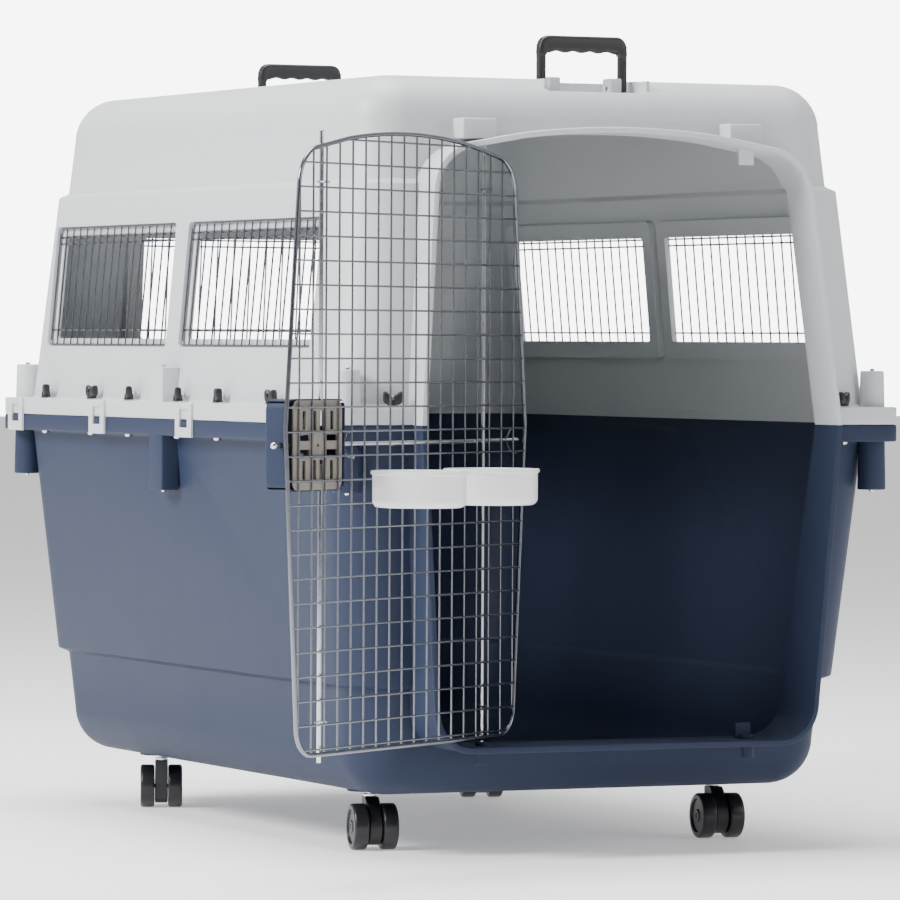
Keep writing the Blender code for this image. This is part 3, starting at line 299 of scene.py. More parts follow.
@dataclass(frozen=True)
class Finish:
    """One surface: its colour, its shine and its fine relief."""

    name: str
    colour: str
    roughness: float
    metallic: float = 0.0
    coat: float = 0.0
    grain_mm: float = 0.0
    grain_depth_mm: float = 0.0
    wear_mm: float = 60.0
    wear: float = 0.04
    tint: float = 0.0
    gloss: float = 0.5
    glow: float = 0.0

    def build(self) -> bpy.types.Material:
        """Makes the material.

        Returns:
            A material whose colour, roughness and relief vary a little, as real mouldings do.
        """
        material = bpy.data.materials.new(self.name)
        material.use_nodes = True
        tree = material.node_tree
        shader = tree.nodes["Principled BSDF"]
        shader.inputs["Base Color"].default_value = to_linear(self.colour)
        shader.inputs["Metallic"].default_value = self.metallic
        shader.inputs["Coat Weight"].default_value = self.coat
        shader.inputs["Coat Roughness"].default_value = 0.2
        shader.inputs["Specular IOR Level"].default_value = self.gloss
        shader.inputs["Emission Strength"].default_value = self.glow
        place = add_node(tree, "ShaderNodeTexCoord")
        cloud = add_node(tree, "ShaderNodeTexNoise", Scale=1000 / self.wear_mm, Detail=4.0)
        tree.links.new(place.outputs["Object"], cloud.inputs["Vector"])
        spread = add_node(
            tree,
            "ShaderNodeMapRange",
            **{"To Min": self.roughness - self.wear, "To Max": self.roughness + self.wear},
        )
        tree.links.new(cloud.outputs["Fac"], spread.inputs["Value"])
        tree.links.new(spread.outputs["Result"], shader.inputs["Roughness"])
        if self.tint:
            self._vary_colour(tree, cloud, shader)
        if self.grain_mm:
            self._add_grain(tree, place, shader)
        return material

    def _vary_colour(self, tree, cloud, shader) -> None:
        """Lets the colour drift a little with the broad noise."""
        drift = add_node(
            tree,
            "ShaderNodeMapRange",
            **{"To Min": 1.0 - self.tint, "To Max": 1.0 + self.tint},
        )
        tree.links.new(cloud.outputs["Fac"], drift.inputs["Value"])
        shade = add_node(tree, "ShaderNodeHueSaturation", Color=to_linear(self.colour))
        tree.links.new(drift.outputs["Result"], shade.inputs["Value"])
        tree.links.new(shade.outputs["Color"], shader.inputs["Base Color"])

    def _add_grain(self, tree, place, shader) -> None:
        """Adds the fine relief of the mould or of the plating."""
        noise = add_node(tree, "ShaderNodeTexNoise", Scale=1000 / self.grain_mm, Detail=2.0)
        tree.links.new(place.outputs["Object"], noise.inputs["Vector"])
        bump = add_node(tree, "ShaderNodeBump", Strength=1.0, Distance=self.grain_depth_mm / 1000)
        tree.links.new(noise.outputs["Fac"], bump.inputs["Height"])
        tree.links.new(bump.outputs["Normal"], shader.inputs["Normal"])


def add_node(tree: bpy.types.NodeTree, kind: str, **values: object) -> bpy.types.Node:
    """Adds a node with the given input values.

    Args:
        tree: The node tree to add to.
        kind: The node's type name.
        **values: Input values by socket name.

    Returns:
        The new node.
    """
    node = tree.nodes.new(kind)
    for name, value in values.items():
        node.inputs[name].default_value = value
    return node


@dataclass
class Finishes:
    """Every finish on the crate, made once."""

    # Light grey polypropylene with the fine spark texture of a large mould.
    grey: Finish = Finish(
        "light_grey_shell_plastic", "#C3C7C9", 0.44, grain_mm=1.1, grain_depth_mm=0.035, tint=0.025
    )
    # The same texture in dark slate blue.
    blue: Finish = Finish(
        "slate_blue_shell_plastic", "#2B3348", 0.55, grain_mm=1.1, grain_depth_mm=0.035, tint=0.04, gloss=0.16
    )
    # Black nylon of the wing nuts, handles and caster hoods.
    black: Finish = Finish("black_nylon", "#1B1B1E", 0.42, grain_mm=0.6, grain_depth_mm=0.02)
    # Harder, shinier tread of the wheels.
    tread: Finish = Finish("caster_wheel_plastic", "#202024", 0.33, wear=0.06)
    # Smooth white bowls.
    white: Finish = Finish("white_bowl_plastic", "#F1F1F3", 0.28, coat=0.25, wear=0.03)
    # Warm grey latch plate and slides.
    beige: Finish = Finish("warm_grey_latch_plastic", "#7C766D", 0.45, grain_mm=0.8, grain_depth_mm=0.02)
    # Zinc-plated welded wire.
    wire: Finish = Finish(
        "zinc_plated_wire", "#85878F", 0.24, metallic=1.0, wear_mm=9.0, wear=0.05, tint=0.05
    )
    # Brighter plated rods and bolt heads.
    steel: Finish = Finish(
        "bright_plated_steel", "#D3D4D7", 0.18, metallic=1.0, wear_mm=12.0, wear=0.05, tint=0.03
    )
    # The studio's floor.
    paper: Finish = Finish("studio_paper", "#F8F8F7", 0.85, wear=0.0, gloss=0.1, glow=0.36)
    made: dict[str, bpy.types.Material] = field(default_factory=dict)

    def of(self, finish: Finish) -> bpy.types.Material:
        """Finds the material of a finish, making it on first use.

        Args:
            finish: The finish to build.

        Returns:
            Its material.
        """
        if finish.name not in self.made:
            self.made[finish.name] = finish.build()
        return self.made[finish.name]


# ------------------------------------------------------------------ shapes
def box(low, high, bevel: float = 0.0, into=None, matrix: Matrix | None = None) -> bmesh.types.BMesh:
    """Makes a block between two corners, with its edges rounded.

    Args:
        low: Lowest corner.
        high: Highest corner.
        bevel: Radius of the rounded edges, or 0 for sharp ones.
        into: A shape to add the block to.
        matrix: Where the block's own frame sits.

    Returns:
        The shape.
    """
    low, high = Vector(low), Vector(high)
    block = bmesh.new()
    place = Matrix.Translation((low + high) / 2) @ Matrix.Diagonal((*(high - low), 1.0))
    bmesh.ops.create_cube(block, size=1.0, matrix=place)
    if bevel:
        bmesh.ops.bevel(
            block,
            geom=list(block.edges),
            offset=bevel,
            segments=3,
            profile=0.5,
            affect="EDGES",
        )
    return merged(block, into, matrix)


def merged(shape: bmesh.types.BMesh, into=None, matrix: Matrix | None = None) -> bmesh.types.BMesh:
    """Moves a shape, and adds it to another if one is given.

    Args:
        shape: The shape to move. It is freed if it is added to another.
        into: The shape to add it to.
        matrix: The move.

    Returns:
        The shape that now holds it.
    """
    if matrix:
        shape.transform(matrix)
    if into is None:
        return shape
    data = bpy.data.meshes.new("part")
    shape.to_mesh(data)
    shape.free()
    into.from_mesh(data)
    bpy.data.meshes.remove(data)
    return into


def loft(rings: Sequence[Outline], loop: bool = False) -> bmesh.types.BMesh:
    """Skins a row of closed rings that have the same number of points.

    Args:
        rings: The rings in order.
        loop: Joins the last ring to the first in place of capping both.

    Returns:
        The closed shape.
    """
    shape = bmesh.new()
    rows = [[shape.verts.new(point) for point in ring] for ring in rings]
    pairs = list(zip(rows, rows[1:]))
    if loop:
        pairs.append((rows[-1], rows[0]))
    else:
        shape.faces.new(rows[0])
        shape.faces.new(rows[-1])
    for lower, upper in pairs:
        for i, corner in enumerate(lower):
            after = (i + 1) % len(lower)
            shape.faces.new((corner, lower[after], upper[after], upper[i]))
    bmesh.ops.recalc_face_normals(shape, faces=shape.faces)
    return shape


def turned(profile: Profile, sides: int = 32, into=None, matrix: Matrix | None = None):
    """Makes a solid of revolution about Z from (radius, height) pairs.

    Args:
        profile: Radius and height pairs from one end to the other.
        sides: Sides round.
        into: A shape to add it to.
        matrix: Where its own frame sits.

    Returns:
        The shape.
    """
    rings = []
    for radius, z in profile:
        angles = [math.tau * i / sides for i in range(sides)]
        rings.append([Vector((radius * math.cos(a), radius * math.sin(a), z)) for a in angles])
    return merged(loft(rings), into, matrix)


def rod(start, end, radius: float, sides: int = 20, into=None, rounding: float = 0.0):
    """Makes a straight round bar between two points.

    Args:
        start: Centre of one end.
        end: Centre of the other.
        radius: The bar's radius.
        sides: Sides round.
        into: A shape to add it to.
        rounding: Radius of the rounded rims.

    Returns:
        The shape.
    """
    start, end = Vector(start), Vector(end)
    way = end - start
    aim = Matrix.Translation(start) @ way.to_track_quat("Z", "Y").to_matrix().to_4x4()
    profile = [(radius, 0.0), (radius, way.length)]
    if rounding:
        profile = rounded_ends(radius, way.length, rounding)
    return turned(profile, sides, into, aim)


def rounded_ends(radius: float, length: float, rounding: float) -> list[tuple[float, float]]:
    """The profile of a bar whose rims are rounded."""
    steps = 4
    near = []
    for i in range(steps + 1):
        angle = math.pi / 2 * i / steps
        inner = radius - rounding * (1 - math.sin(angle))
        near.append((inner, rounding * (1 - math.cos(angle))))
    return near + [(r, length - z) for r, z in reversed(near)]


def rounded_rectangle(half_x: float, half_y: float, radius: float, z: float, steps: int = 10) -> Outline:
    """The points of a level rounded rectangle."""
    points = []
    for quarter, (side_x, side_y) in enumerate(((1, 1), (-1, 1), (-1, -1), (1, -1))):
        for step in range(steps + 1):
            angle = math.pi / 2 * (quarter + step / steps)
            x = side_x * (half_x - radius) + radius * math.cos(angle)
            y = side_y * (half_y - radius) + radius * math.sin(angle)
            points.append(Vector((x, y, z)))
    return points


def filleted(corners: Sequence[tuple[float, float, float]], steps: int) -> Outline:
    """Rounds each (x, z, radius) corner of a closed outline. Radius 0 keeps the corner."""
    outline = []
    for i, (x, z, radius) in enumerate(corners):
        here = Vector((x, z))
        before = (Vector(corners[i - 1][:2]) - here).normalized()
        after = (Vector(corners[(i + 1) % len(corners)][:2]) - here).normalized()
        if not radius:
            outline.append(here)
            continue
        half = before.angle(after) / 2
        centre = here + (before + after).normalized() * radius / math.sin(half)
        first = here + before * radius / math.tan(half) - centre
        turn = math.pi - 2 * half
        for step in range(steps + 1):
            outline.append(centre + Matrix.Rotation(turn * step / steps, 2) @ first)
    return outline


def grown(outline: Outline, distance: float) -> Outline:
    """The anticlockwise outline moved outward by a distance, or inward by a negative one."""
    moved = []
    for i, here in enumerate(outline):
        along = (here - outline[i - 1]).normalized()
        onward = (outline[(i + 1) % len(outline)] - here).normalized()
        outward = Vector((along.y + onward.y, -along.x - onward.x)).normalized()
        share = max(outward.dot(Vector((along.y, -along.x))), 0.5)
        moved.append(here + outward * distance / share)
    return moved


def crossings(outline: Outline, axis: int, value: float) -> tuple[float, float]:
    """Where a level or upright line meets an outline.

    Args:
        outline: A closed outline.
        axis: 0 for an upright line at x = value, 1 for a level line at z = value.
        value: The line's place.

    Returns:
        The lowest and highest crossing along the line.
    """
    other = 1 - axis
    found = []
    for i, here in enumerate(outline):
        last = outline[i - 1]
        if (last[axis] - value) * (here[axis] - value) <= 0 and last[axis] != here[axis]:
            share = (value - last[axis]) / (here[axis] - last[axis])
            found.append(last.lerp(here, share)[other])
    return min(found), max(found)


# ------------------------------------------------------------------ pieces
class Workshop:
    """Turns shapes into pieces of the crate and puts them on their bodies."""

    def __init__(self) -> None:
        """Starts with no finishes made."""
        self.finishes = Finishes()
        self.collection = bpy.data.collections.new("dog_crate_looks")
        bpy.context.scene.collection.children.link(self.collection)

    def raw(self, name: str, shape) -> bpy.types.Object:
        """Makes an object from a shape or from ready data.

        Args:
            name: The object's name.
            shape: A bmesh, which is freed, or object data.

        Returns:
            The object, linked to the scene.
        """
        data = shape
        if isinstance(shape, bmesh.types.BMesh):
            data = bpy.data.meshes.new(name)
            shape.to_mesh(data)
            shape.free()
        made = bpy.data.objects.new(name, data)
        self.collection.objects.link(made)
        return made

    def combine(self, target: bpy.types.Object, shape, operation: str) -> bpy.types.Object:
        """Joins a shape to an object, or cuts or keeps with it, and applies the result.

        Args:
            target: The object to change.
            shape: The shape to combine it with.
            operation: UNION, DIFFERENCE or INTERSECT.

        Returns:
            The changed object.
        """
        helper = self.raw("helper", shape) if isinstance(shape, bmesh.types.BMesh) else shape
        modifier = target.modifiers.new("combine", "BOOLEAN")
        modifier.operation = operation
        modifier.object = helper
        graph = bpy.context.evaluated_depsgraph_get()
        old = target.data
        target.data = bpy.data.meshes.new_from_object(target.evaluated_get(graph))
        target.modifiers.clear()
        spent = helper.data
        bpy.data.objects.remove(helper)
        bpy.data.meshes.remove(spent)
        bpy.data.meshes.remove(old)
        return target

    def piece(
        self,
        name: str,
        shape,
        finish: Finish,
        slot: Slot,
        body: str,
        replaces: Iterable[str] = (),
        place: Matrix | None = None,
        smooth: float = 35.0,
    ) -> bpy.types.Object:
        """Finishes a piece and puts it on its body.

        Args:
            name: The piece's name.
            shape: A bmesh, an object or object data.
            finish: Its finish.
            slot: The record's slot for it; not used.
            body: The CAD body it rides on.
            replaces: The CAD nodes it stands for.
            place: Where the shape's own frame sits.
            smooth: The angle under which edges are shaded smooth, in degrees.

        Returns:
            The piece.
        """
        made = shape if isinstance(shape, bpy.types.Object) else self.raw(name, shape)
        made.name = name
        made.data.name = name
        if place:
            made.matrix_world = place
        made.data.materials.clear()
        made.data.materials.append(self.finishes.of(finish))
        if isinstance(made.data, bpy.types.Mesh):
            made.data.shade_smooth()
            made.data.set_sharp_from_angle(angle=math.radians(smooth))
        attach(made, body)
        if replaces:
            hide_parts(*replaces)
        return made

    def wires(self, name: str, runs: Sequence[tuple[Sequence[Vector], bool]], radius: float):
        """Makes curve data of round wires.

        Args:
            name: The data's name.
            runs: The points of each wire, and whether it closes on itself.
            radius: The wire's radius.

        Returns:
            The curve.
        """
        curve = bpy.data.curves.new(name, "CURVE")
        curve.dimensions = "3D"
        curve.bevel_depth = radius
        curve.bevel_resolution = 3
        curve.use_fill_caps = True
        for points, closed in runs:
            spline = curve.splines.new("POLY")
            spline.points.add(len(points) - 1)
            for spot, point in zip(spline.points, points):
                spot.co = (*point, 1.0)
            spline.use_cyclic_u = closed
        return curve


# ------------------------------------------------------------------ shells
def doorway_outline(steps: int = 14, arch_steps: int = 8) -> Outline:
    """The clear opening, anticlockwise in X and Z, seen from the front."""
    half = SHELL.wall_x - DOORWAY.margin
    top = SHELL.roof - DOORWAY.top_drop
    shoulder_z = top - DOORWAY.arch_rise
    foot = half - DOORWAY.lower_taper * (SHELL.split - DOORWAY.sill)
    shoulder = half - SHELL.upper_taper * (shoulder_z - SHELL.split)
    corners = [
        (-foot, DOORWAY.sill, DOORWAY.foot_corner),
        (foot, DOORWAY.sill, DOORWAY.foot_corner),
        (half, SHELL.split, 0.0),
        (shoulder, shoulder_z, DOORWAY.corner),
    ]
    for step in range(1, 2 * arch_steps):
        share = (1.0 - step / arch_steps) * 0.62
        corners.append((shoulder * share, top - DOORWAY.arch_rise * share**2, 0.0))
    corners.append((-shoulder, shoulder_z, DOORWAY.corner))
    corners.append((-half, SHELL.split, 0.0))
    return filleted(corners, steps)


def lower_inset(z: float) -> float:
    """How far the lower wall stands in from its line at the split."""
    return SHELL.lower_taper * (SHELL.split - z) + ledge(SHELL.lower_ledge_z - z, SHELL.lower_ledge)


def upper_inset(z: float) -> float:
    """How far the upper wall stands in from its line at the split."""
    return SHELL.upper_taper * (z - SHELL.split) + ledge(z - SHELL.upper_ledge_z, SHELL.upper_ledge)


def ledge(past: float, width: float) -> float:
    """The share of a ledge's width at a distance past its middle, with both its edges rounded."""
    share = min(max(past / SHELL.ledge_rise + 0.5, 0.0), 1.0)
    return width * share * share * (3 - 2 * share)


@dataclass(frozen=True)
class Half:
    """What sets one shell apart from the other."""

    name: str
    inset: Callable[[float], float]
    end_z: float
    ledge_z: float
    toward: float
    flange: float

    @property
    def meeting(self) -> float:
        """Height of the face that meets the other shell."""
        return SHELL.split - self.toward * SHELL.gap / 2


LOWER = Half("lower_shell", lower_inset, 0.0, SHELL.lower_ledge_z, 1.0, SHELL.lower_flange)
UPPER = Half("upper_shell", upper_inset, SHELL.roof, SHELL.upper_ledge_z, -1.0, SHELL.upper_flange)


class ShellMaker:
    """Builds the smooth skin of one shell and cuts its openings."""

    EDGE_STEPS = 12
    LEDGE_STEPS = 8

    def __init__(self, shop: Workshop, half: Half) -> None:
        """Keeps the workshop and which shell this is.

        Args:
            shop: Where pieces are made.
            half: The shell's own values.
        """
        self.shop = shop
        self.half = half

    def ring(self, inset: float, z: float, shrink: float) -> Outline:
        """One level ring of the wall."""
        radius = max(SHELL.wall_corner - shrink, 0.004)
        return rounded_rectangle(SHELL.wall_x - inset, SHELL.wall_y - inset, radius, z)

    def wall(self, offset: float) -> list[Outline]:
        """The rings of one face of the wall, from the flat end to the flange."""
        half = self.half
        centre_z = half.end_z + half.toward * SHELL.edge_radius
        rim = half.inset(centre_z) + SHELL.edge_radius
        reach = SHELL.edge_radius - offset
        rings = []
        for step in range(self.EDGE_STEPS + 1):
            angle = math.pi / 2 * step / self.EDGE_STEPS
            inset = rim - reach * math.sin(angle)
            z = centre_z - half.toward * reach * math.cos(angle)
            rings.append(self.ring(inset, z, inset - half.inset(centre_z)))
        for step in range(self.LEDGE_STEPS + 1):
            share = step / self.LEDGE_STEPS - 0.5
            z = half.ledge_z + half.toward * SHELL.ledge_rise * share
            rings.append(self.ring(half.inset(z) + offset, z, offset))
        return rings

    def skin(self) -> bmesh.types.BMesh:
        """Outer wall, flange and inner wall as one closed skin."""
        half = self.half
        flange_z = SHELL.split - half.toward * half.flange
        fillet = 0.004
        rings = self.wall(0.0)
        for step in range(5):
            angle = math.pi / 2 * step / 4
            z = flange_z - half.toward * fillet * (1 - math.sin(angle))
            inset = half.inset(z) - fillet * (1 - math.cos(angle))
            rings.append(self.ring(inset, z, 0.0))
        rim = 0.0022
        for z, toward in ((flange_z, half.toward), (half.meeting, -half.toward)):
            edge = []
            for step in range(4):
                angle = math.pi / 2 * step / 3
                pull = rim * (1 - math.sin(angle))
                level = z + toward * rim * (1 - math.cos(angle))
                edge.append(self.flange_ring(pull, level))
            rings += edge if toward == half.toward else edge[::-1]
        inner = self.wall(SHELL.wall)
        inner.append(self.ring(SHELL.wall, half.meeting, SHELL.wall))
        return loft(rings + inner[::-1])

    def flange_ring(self, pull: float, z: float) -> Outline:
        """One level ring of the flange, pulled in from its outermost line."""
        half_x = SHELL.flange_width / 2 - pull
        half_y = SHELL.flange_length / 2 - pull
        return rounded_rectangle(half_x, half_y, SHELL.flange_corner - pull, z)

    def front_wall_y(self, z: float) -> float:
        """The front wall's outer face at a height."""
        half = self.half
        into_edge = SHELL.edge_radius - (z - half.end_z) * half.toward
        y = -SHELL.wall_y + half.inset(z)
        if into_edge > 0.0:
            square = min(into_edge / SHELL.edge_radius, 1.0) ** 2
            y += SHELL.edge_radius * (1.0 - math.sqrt(1.0 - square))
        return y

    def collar_front(self, z: float) -> float:
        """The free rim of the collar at a height."""
        lean = DOORWAY.upper_lean if z > SHELL.split else DOORWAY.lower_lean
        return -SHELL.wall_y - DOORWAY.depth + lean * abs(z - SHELL.split)

    def collar(self) -> bpy.types.Object:
        """This shell's half of the collar, with a small bead round its rim."""
        outline = doorway_outline()

        def ring(distance: float, back: float, at_root: bool = False) -> Outline:
            points = []
            for p in grown(outline, distance):
                depth = self.front_wall_y(p.y) + DOORWAY.root if at_root else self.collar_front(p.y)
                points.append(Vector((p.x, depth + (0.0 if at_root else back), p.y)))
            return points

        wall, lip = DOORWAY.wall, DOORWAY.lip
        rings = [
            ring(wall, 0.0, at_root=True),
            ring(wall, 0.0065),
            ring(wall + lip * 0.7, 0.0055),
            ring(wall + lip, 0.0042),
            ring(wall + lip, 0.0016),
            ring(wall + lip * 0.5, 0.0004),
            ring(wall - lip * 0.4, 0.0),
            ring(lip * 0.9, 0.0),
            ring(lip * 0.25, 0.0005),
            ring(0.0, 0.0018),
            ring(0.0, 0.0, at_root=True),
        ]
        tube = self.shop.raw("collar", loft(rings, loop=True))
        near = self.half.meeting
        low_z, high_z = sorted((near, near - self.half.toward * SHELL.roof))
        return self.shop.combine(tube, box((-1, -1, low_z), (1, 0, high_z)), "INTERSECT")

    def build(self) -> bpy.types.Object:
        """Makes the shell with its doorway and collar.

        Returns:
            The shell as a plain object.
        """
        shell = self.shop.raw(self.half.name + "_fine", self.skin())
        outline = grown(doorway_outline(), DOORWAY.wall / 2)
        depths = (-SHELL.wall_y - 2 * DOORWAY.depth, -SHELL.wall_y + 2 * SHELL.edge_radius)
        prism = loft([[Vector((p.x, y, p.y)) for p in outline] for y in depths])
        self.shop.combine(shell, prism, "DIFFERENCE")
        self.shop.combine(shell, self.collar(), "UNION")
        return shell


def wall_frame(outward: Vector, along: float, rise: float) -> Matrix:
    """A frame on an upper wall: X along it, Y up it and Z out of it, at a height over the split."""
    half = SHELL.wall_x if abs(outward.x) > 0.5 else SHELL.wall_y
    origin = outward * (half - SHELL.upper_taper * rise)
    origin += Vector((0, 0, 1)).cross(outward) * along
    origin.z = SHELL.split + rise
    lean = math.atan(SHELL.upper_taper)
    normal = outward * math.cos(lean) + Vector((0, 0, math.sin(lean)))
    upward = Vector((0, 0, math.cos(lean))) - outward * math.sin(lean)
    side = upward.cross(normal)
    return Matrix.Translation(origin) @ Matrix((side, upward, normal)).transposed().to_4x4()


def windows() -> list[tuple[str, Matrix, float]]:
    """Name, frame and length of each window."""
    rise = WINDOW.bottom + WINDOW.height / 2
    used = WINDOW.rear_margin + WINDOW.front_margin + WINDOW.pillar
    length = (2 * SHELL.wall_y - used) / 2
    centres = {
        "rear": SHELL.wall_y - WINDOW.rear_margin - length / 2,
        "front": -SHELL.wall_y + WINDOW.front_margin + length / 2,
    }
    found = []
    for place, y in centres.items():
        found.append((f"left_{place}", wall_frame(Vector((-1, 0, 0)), -y, rise), length))
        found.append((f"right_{place}", wall_frame(Vector((1, 0, 0)), y, rise), length))
    found.append(("rear", wall_frame(Vector((0, 1, 0)), 0.0, rise), WINDOW.rear_length))
    return found


def window_blocks(grow_x: float, grow_y: float, low: float, high: float, corner: float):
    """Rounded blocks in every window's frame, grown past the recess on each side."""
    shape = bmesh.new()
    for _, frame, length in windows():
        half_x = length / 2 + grow_x
        half_y = WINDOW.height / 2 + grow_y
        rings = [rounded_rectangle(half_x, half_y, corner, z, 5) for z in (low, high)]
        merged(loft(rings), shape, frame)
    return shape


def clip_places() -> list[float]:
    """Where the flange clips sit along Y, from the rear."""
    return [SHELL.flange_length / 2 - FITTING.clip_rear - i * clip_pitch() for i in range(FITTING.clip_count)]


def clip_pitch() -> float:
    """The spacing of the flange clips."""
    used = FITTING.clip_rear + FITTING.clip_front
    return (SHELL.flange_length - used) / (FITTING.clip_count - 1)


def bolt_places() -> list[tuple[str, float, float, float]]:
    """Name, position and turn of each flange bolt."""
    before = [y - FITTING.before_clip * clip_pitch() for y in clip_places()[:-1]]
    after = [y + FITTING.after_clip * clip_pitch() for y in clip_places()[1:]]
    edge = SHELL.wall_x + SHELL.overhang / 2
    found = []
    turns = (91.0, 75.0, 70.0, 70.0, 95.0, 75.0)
    for side, x in (("left", -edge), ("right", edge)):
        for i, y in enumerate(sorted(before + after)):
            found.append((f"bolt_{side}_{i + 1}", x, y, math.radians(turns[i])))
        front_x = math.copysign(SHELL.flange_width / 2 - FITTING.front_bolt, x)
        front_y = -(SHELL.wall_y + SHELL.overhang / 2)
        turn = -25.0 if side == "left" else 38.0
        found.append((f"bolt_front_{side}", front_x, front_y, math.radians(turn)))
    return found


def post_places() -> tuple[list[tuple[float, float]], list[tuple[float, float]]]:
    """Where the corner posts and the mid-side posts stand."""
    x = SHELL.flange_width / 2 - FITTING.post_inset
    y = SHELL.flange_length / 2 - FITTING.post_inset - SHELL.gap
    after = [c + FITTING.after_clip * clip_pitch() for c in clip_places()[1:]]
    mid_x = SHELL.flange_width / 2 - FITTING.mid_depth / 2
    mid_y = after[1] + FITTING.mid_from_bolt
    corners = [(a * x, b * y) for a in (-1, 1) for b in (-1, 1)]
    return corners, [(a * mid_x, mid_y) for a in (-1, 1)]


def posts(corner_z: tuple[float, float], mid_z: tuple[float, float], taper: float) -> bmesh.types.BMesh:
    """The posts of one shell, a little wider at their second height."""
    corners, middles = post_places()
    shape = bmesh.new()
    for x, y in corners:
        near, far = corner_z
        flip = Matrix.Translation((x, y, near)) @ Matrix.Diagonal((1, 1, 1 if far > near else -1, 1))
        length = abs(far - near)
        profile = [(FITTING.post_radius, 0.0)]
        for r, z in rounded_ends(FITTING.post_radius - taper, length, 0.002)[5:]:
            profile.append((r, z))
        post = turned(profile, 28)
        post.transform(flip)
        if far < near:
            bmesh.ops.reverse_faces(post, faces=post.faces)
        merged(post, shape)
    for x, y in middles:
        half = Vector((FITTING.mid_depth / 2 - SHELL.gap, FITTING.mid_length / 2, 0.0))
        low, high = sorted(mid_z)
        box(Vector((x, y, low)) - half, Vector((x, y, high)) + half, 0.0025, shape)
    return shape


def flange_holes() -> bmesh.types.BMesh:
    """Bolt and tie-rod holes through both shells."""
    shape = bmesh.new()
    deep = FITTING.mid_drop + FITTING.post_radius
    corners, middles = post_places()
    places = [(x, y, FITTING.bolt) for _, x, y, _ in bolt_places()]
    places += [(x, y, FITTING.rod) for x, y in corners + middles]
    for x, y, radius in places:
        start, end = (x, y, SHELL.split - deep), (x, y, SHELL.split + deep)
        rod(start, end, radius + 2 * SHELL.gap, 16, shape)
    return shape


def hinge_y() -> float:
    """The hinge axis along Y."""
    return -(SHELL.flange_length / 2 - DOOR.hinge_behind)


def rod_holes(low_z: float, high_z: float) -> bmesh.types.BMesh:
    """The holes that take the door's upright rods."""
    shape = bmesh.new()
    for x in (DOOR.hinge_x, DOOR.hinge_x + DOOR.latch_rod_u):
        rod((x, hinge_y(), low_z), (x, hinge_y(), high_z), 0.0038, 20, shape)
    return shape


def stop_tab(low_z: float, high_z: float) -> bmesh.types.BMesh:
    """The tab behind the door's latch side."""
    x = DOOR.hinge_x + DOOR.latch_rod_u
    front = hinge_y() + 0.0125
    return box((x - 0.011, front, low_z), (x + 0.011, front + 0.0055, high_z), 0.0008)


class LowerShell:
    """The dark blue lower shell with its keepers, posts and caster pads."""

    def __init__(self, shop: Workshop) -> None:
        """Builds the shell.

        Args:
            shop: Where pieces are made.
        """
        maker = ShellMaker(shop, LOWER)
        shell = maker.build()
        inside = SHELL.split - SHELL.lower_flange / 2
        corner = (inside, SHELL.split - FITTING.post_drop)
        middle = (inside, SHELL.split - FITTING.mid_drop)
        shop.combine(shell, posts(corner, middle, -0.0015), "UNION")
        shop.combine(shell, self.bosses(), "UNION")
        shop.combine(shell, stop_tab(DOORWAY.sill - 0.003, DOORWAY.sill + 0.020), "UNION")
        shop.combine(shell, self.pads(), "UNION")
        shop.combine(shell, flange_holes(), "DIFFERENCE")
        shop.combine(shell, rod_holes(DOORWAY.sill - 0.020, DOORWAY.sill + 0.020), "DIFFERENCE")
        finish = shop.finishes.blue
        shop.piece("lower_shell_moulding", shell, finish, Slot.BLUE, Body.CRATE.value, ["lower_shell"])
        shop.piece("clip_lugs", self.lugs(), finish, Slot.BLUE, Body.CRATE.value)

    def bosses(self) -> bmesh.types.BMesh:
        """The keepers of the door's rods, on the sill."""
        shape = bmesh.new()
        for x in (DOOR.hinge_x, DOOR.hinge_x + DOOR.latch_rod_u):
            low = (x, hinge_y(), DOORWAY.sill - 0.024)
            rod(low, (x, hinge_y(), DOORWAY.sill + 0.0055), 0.008, 28, shape, 0.0012)
        return shape

    def pads(self) -> bmesh.types.BMesh:
        """The round pads under the floor that carry the casters."""
        shape = bmesh.new()
        x, y = SHELL.wall_x - CASTER.x_inset, SHELL.wall_y - CASTER.y_inset
        for a in (-1, 1):
            for b in (-1, 1):
                rod((a * x, b * y, -0.003), (a * x, b * y, 0.002), 0.030, 40, shape, 0.001)
        return shape

    def lugs(self) -> bmesh.types.BMesh:
        """Small lugs on the lower flange that the clips' slots snap over."""
        shape = bmesh.new()
        edge = SHELL.flange_width / 2
        for side in (-1, 1):
            low_x, high_x = sorted((side * (edge - 0.0012), side * (edge + 0.0022)))
            for y in clip_places():
                low = (low_x, y - 0.0115, SHELL.split - 0.0085)
                box(low, (high_x, y + 0.0115, SHELL.split - 0.0012), 0.0006, shape)
        return shape


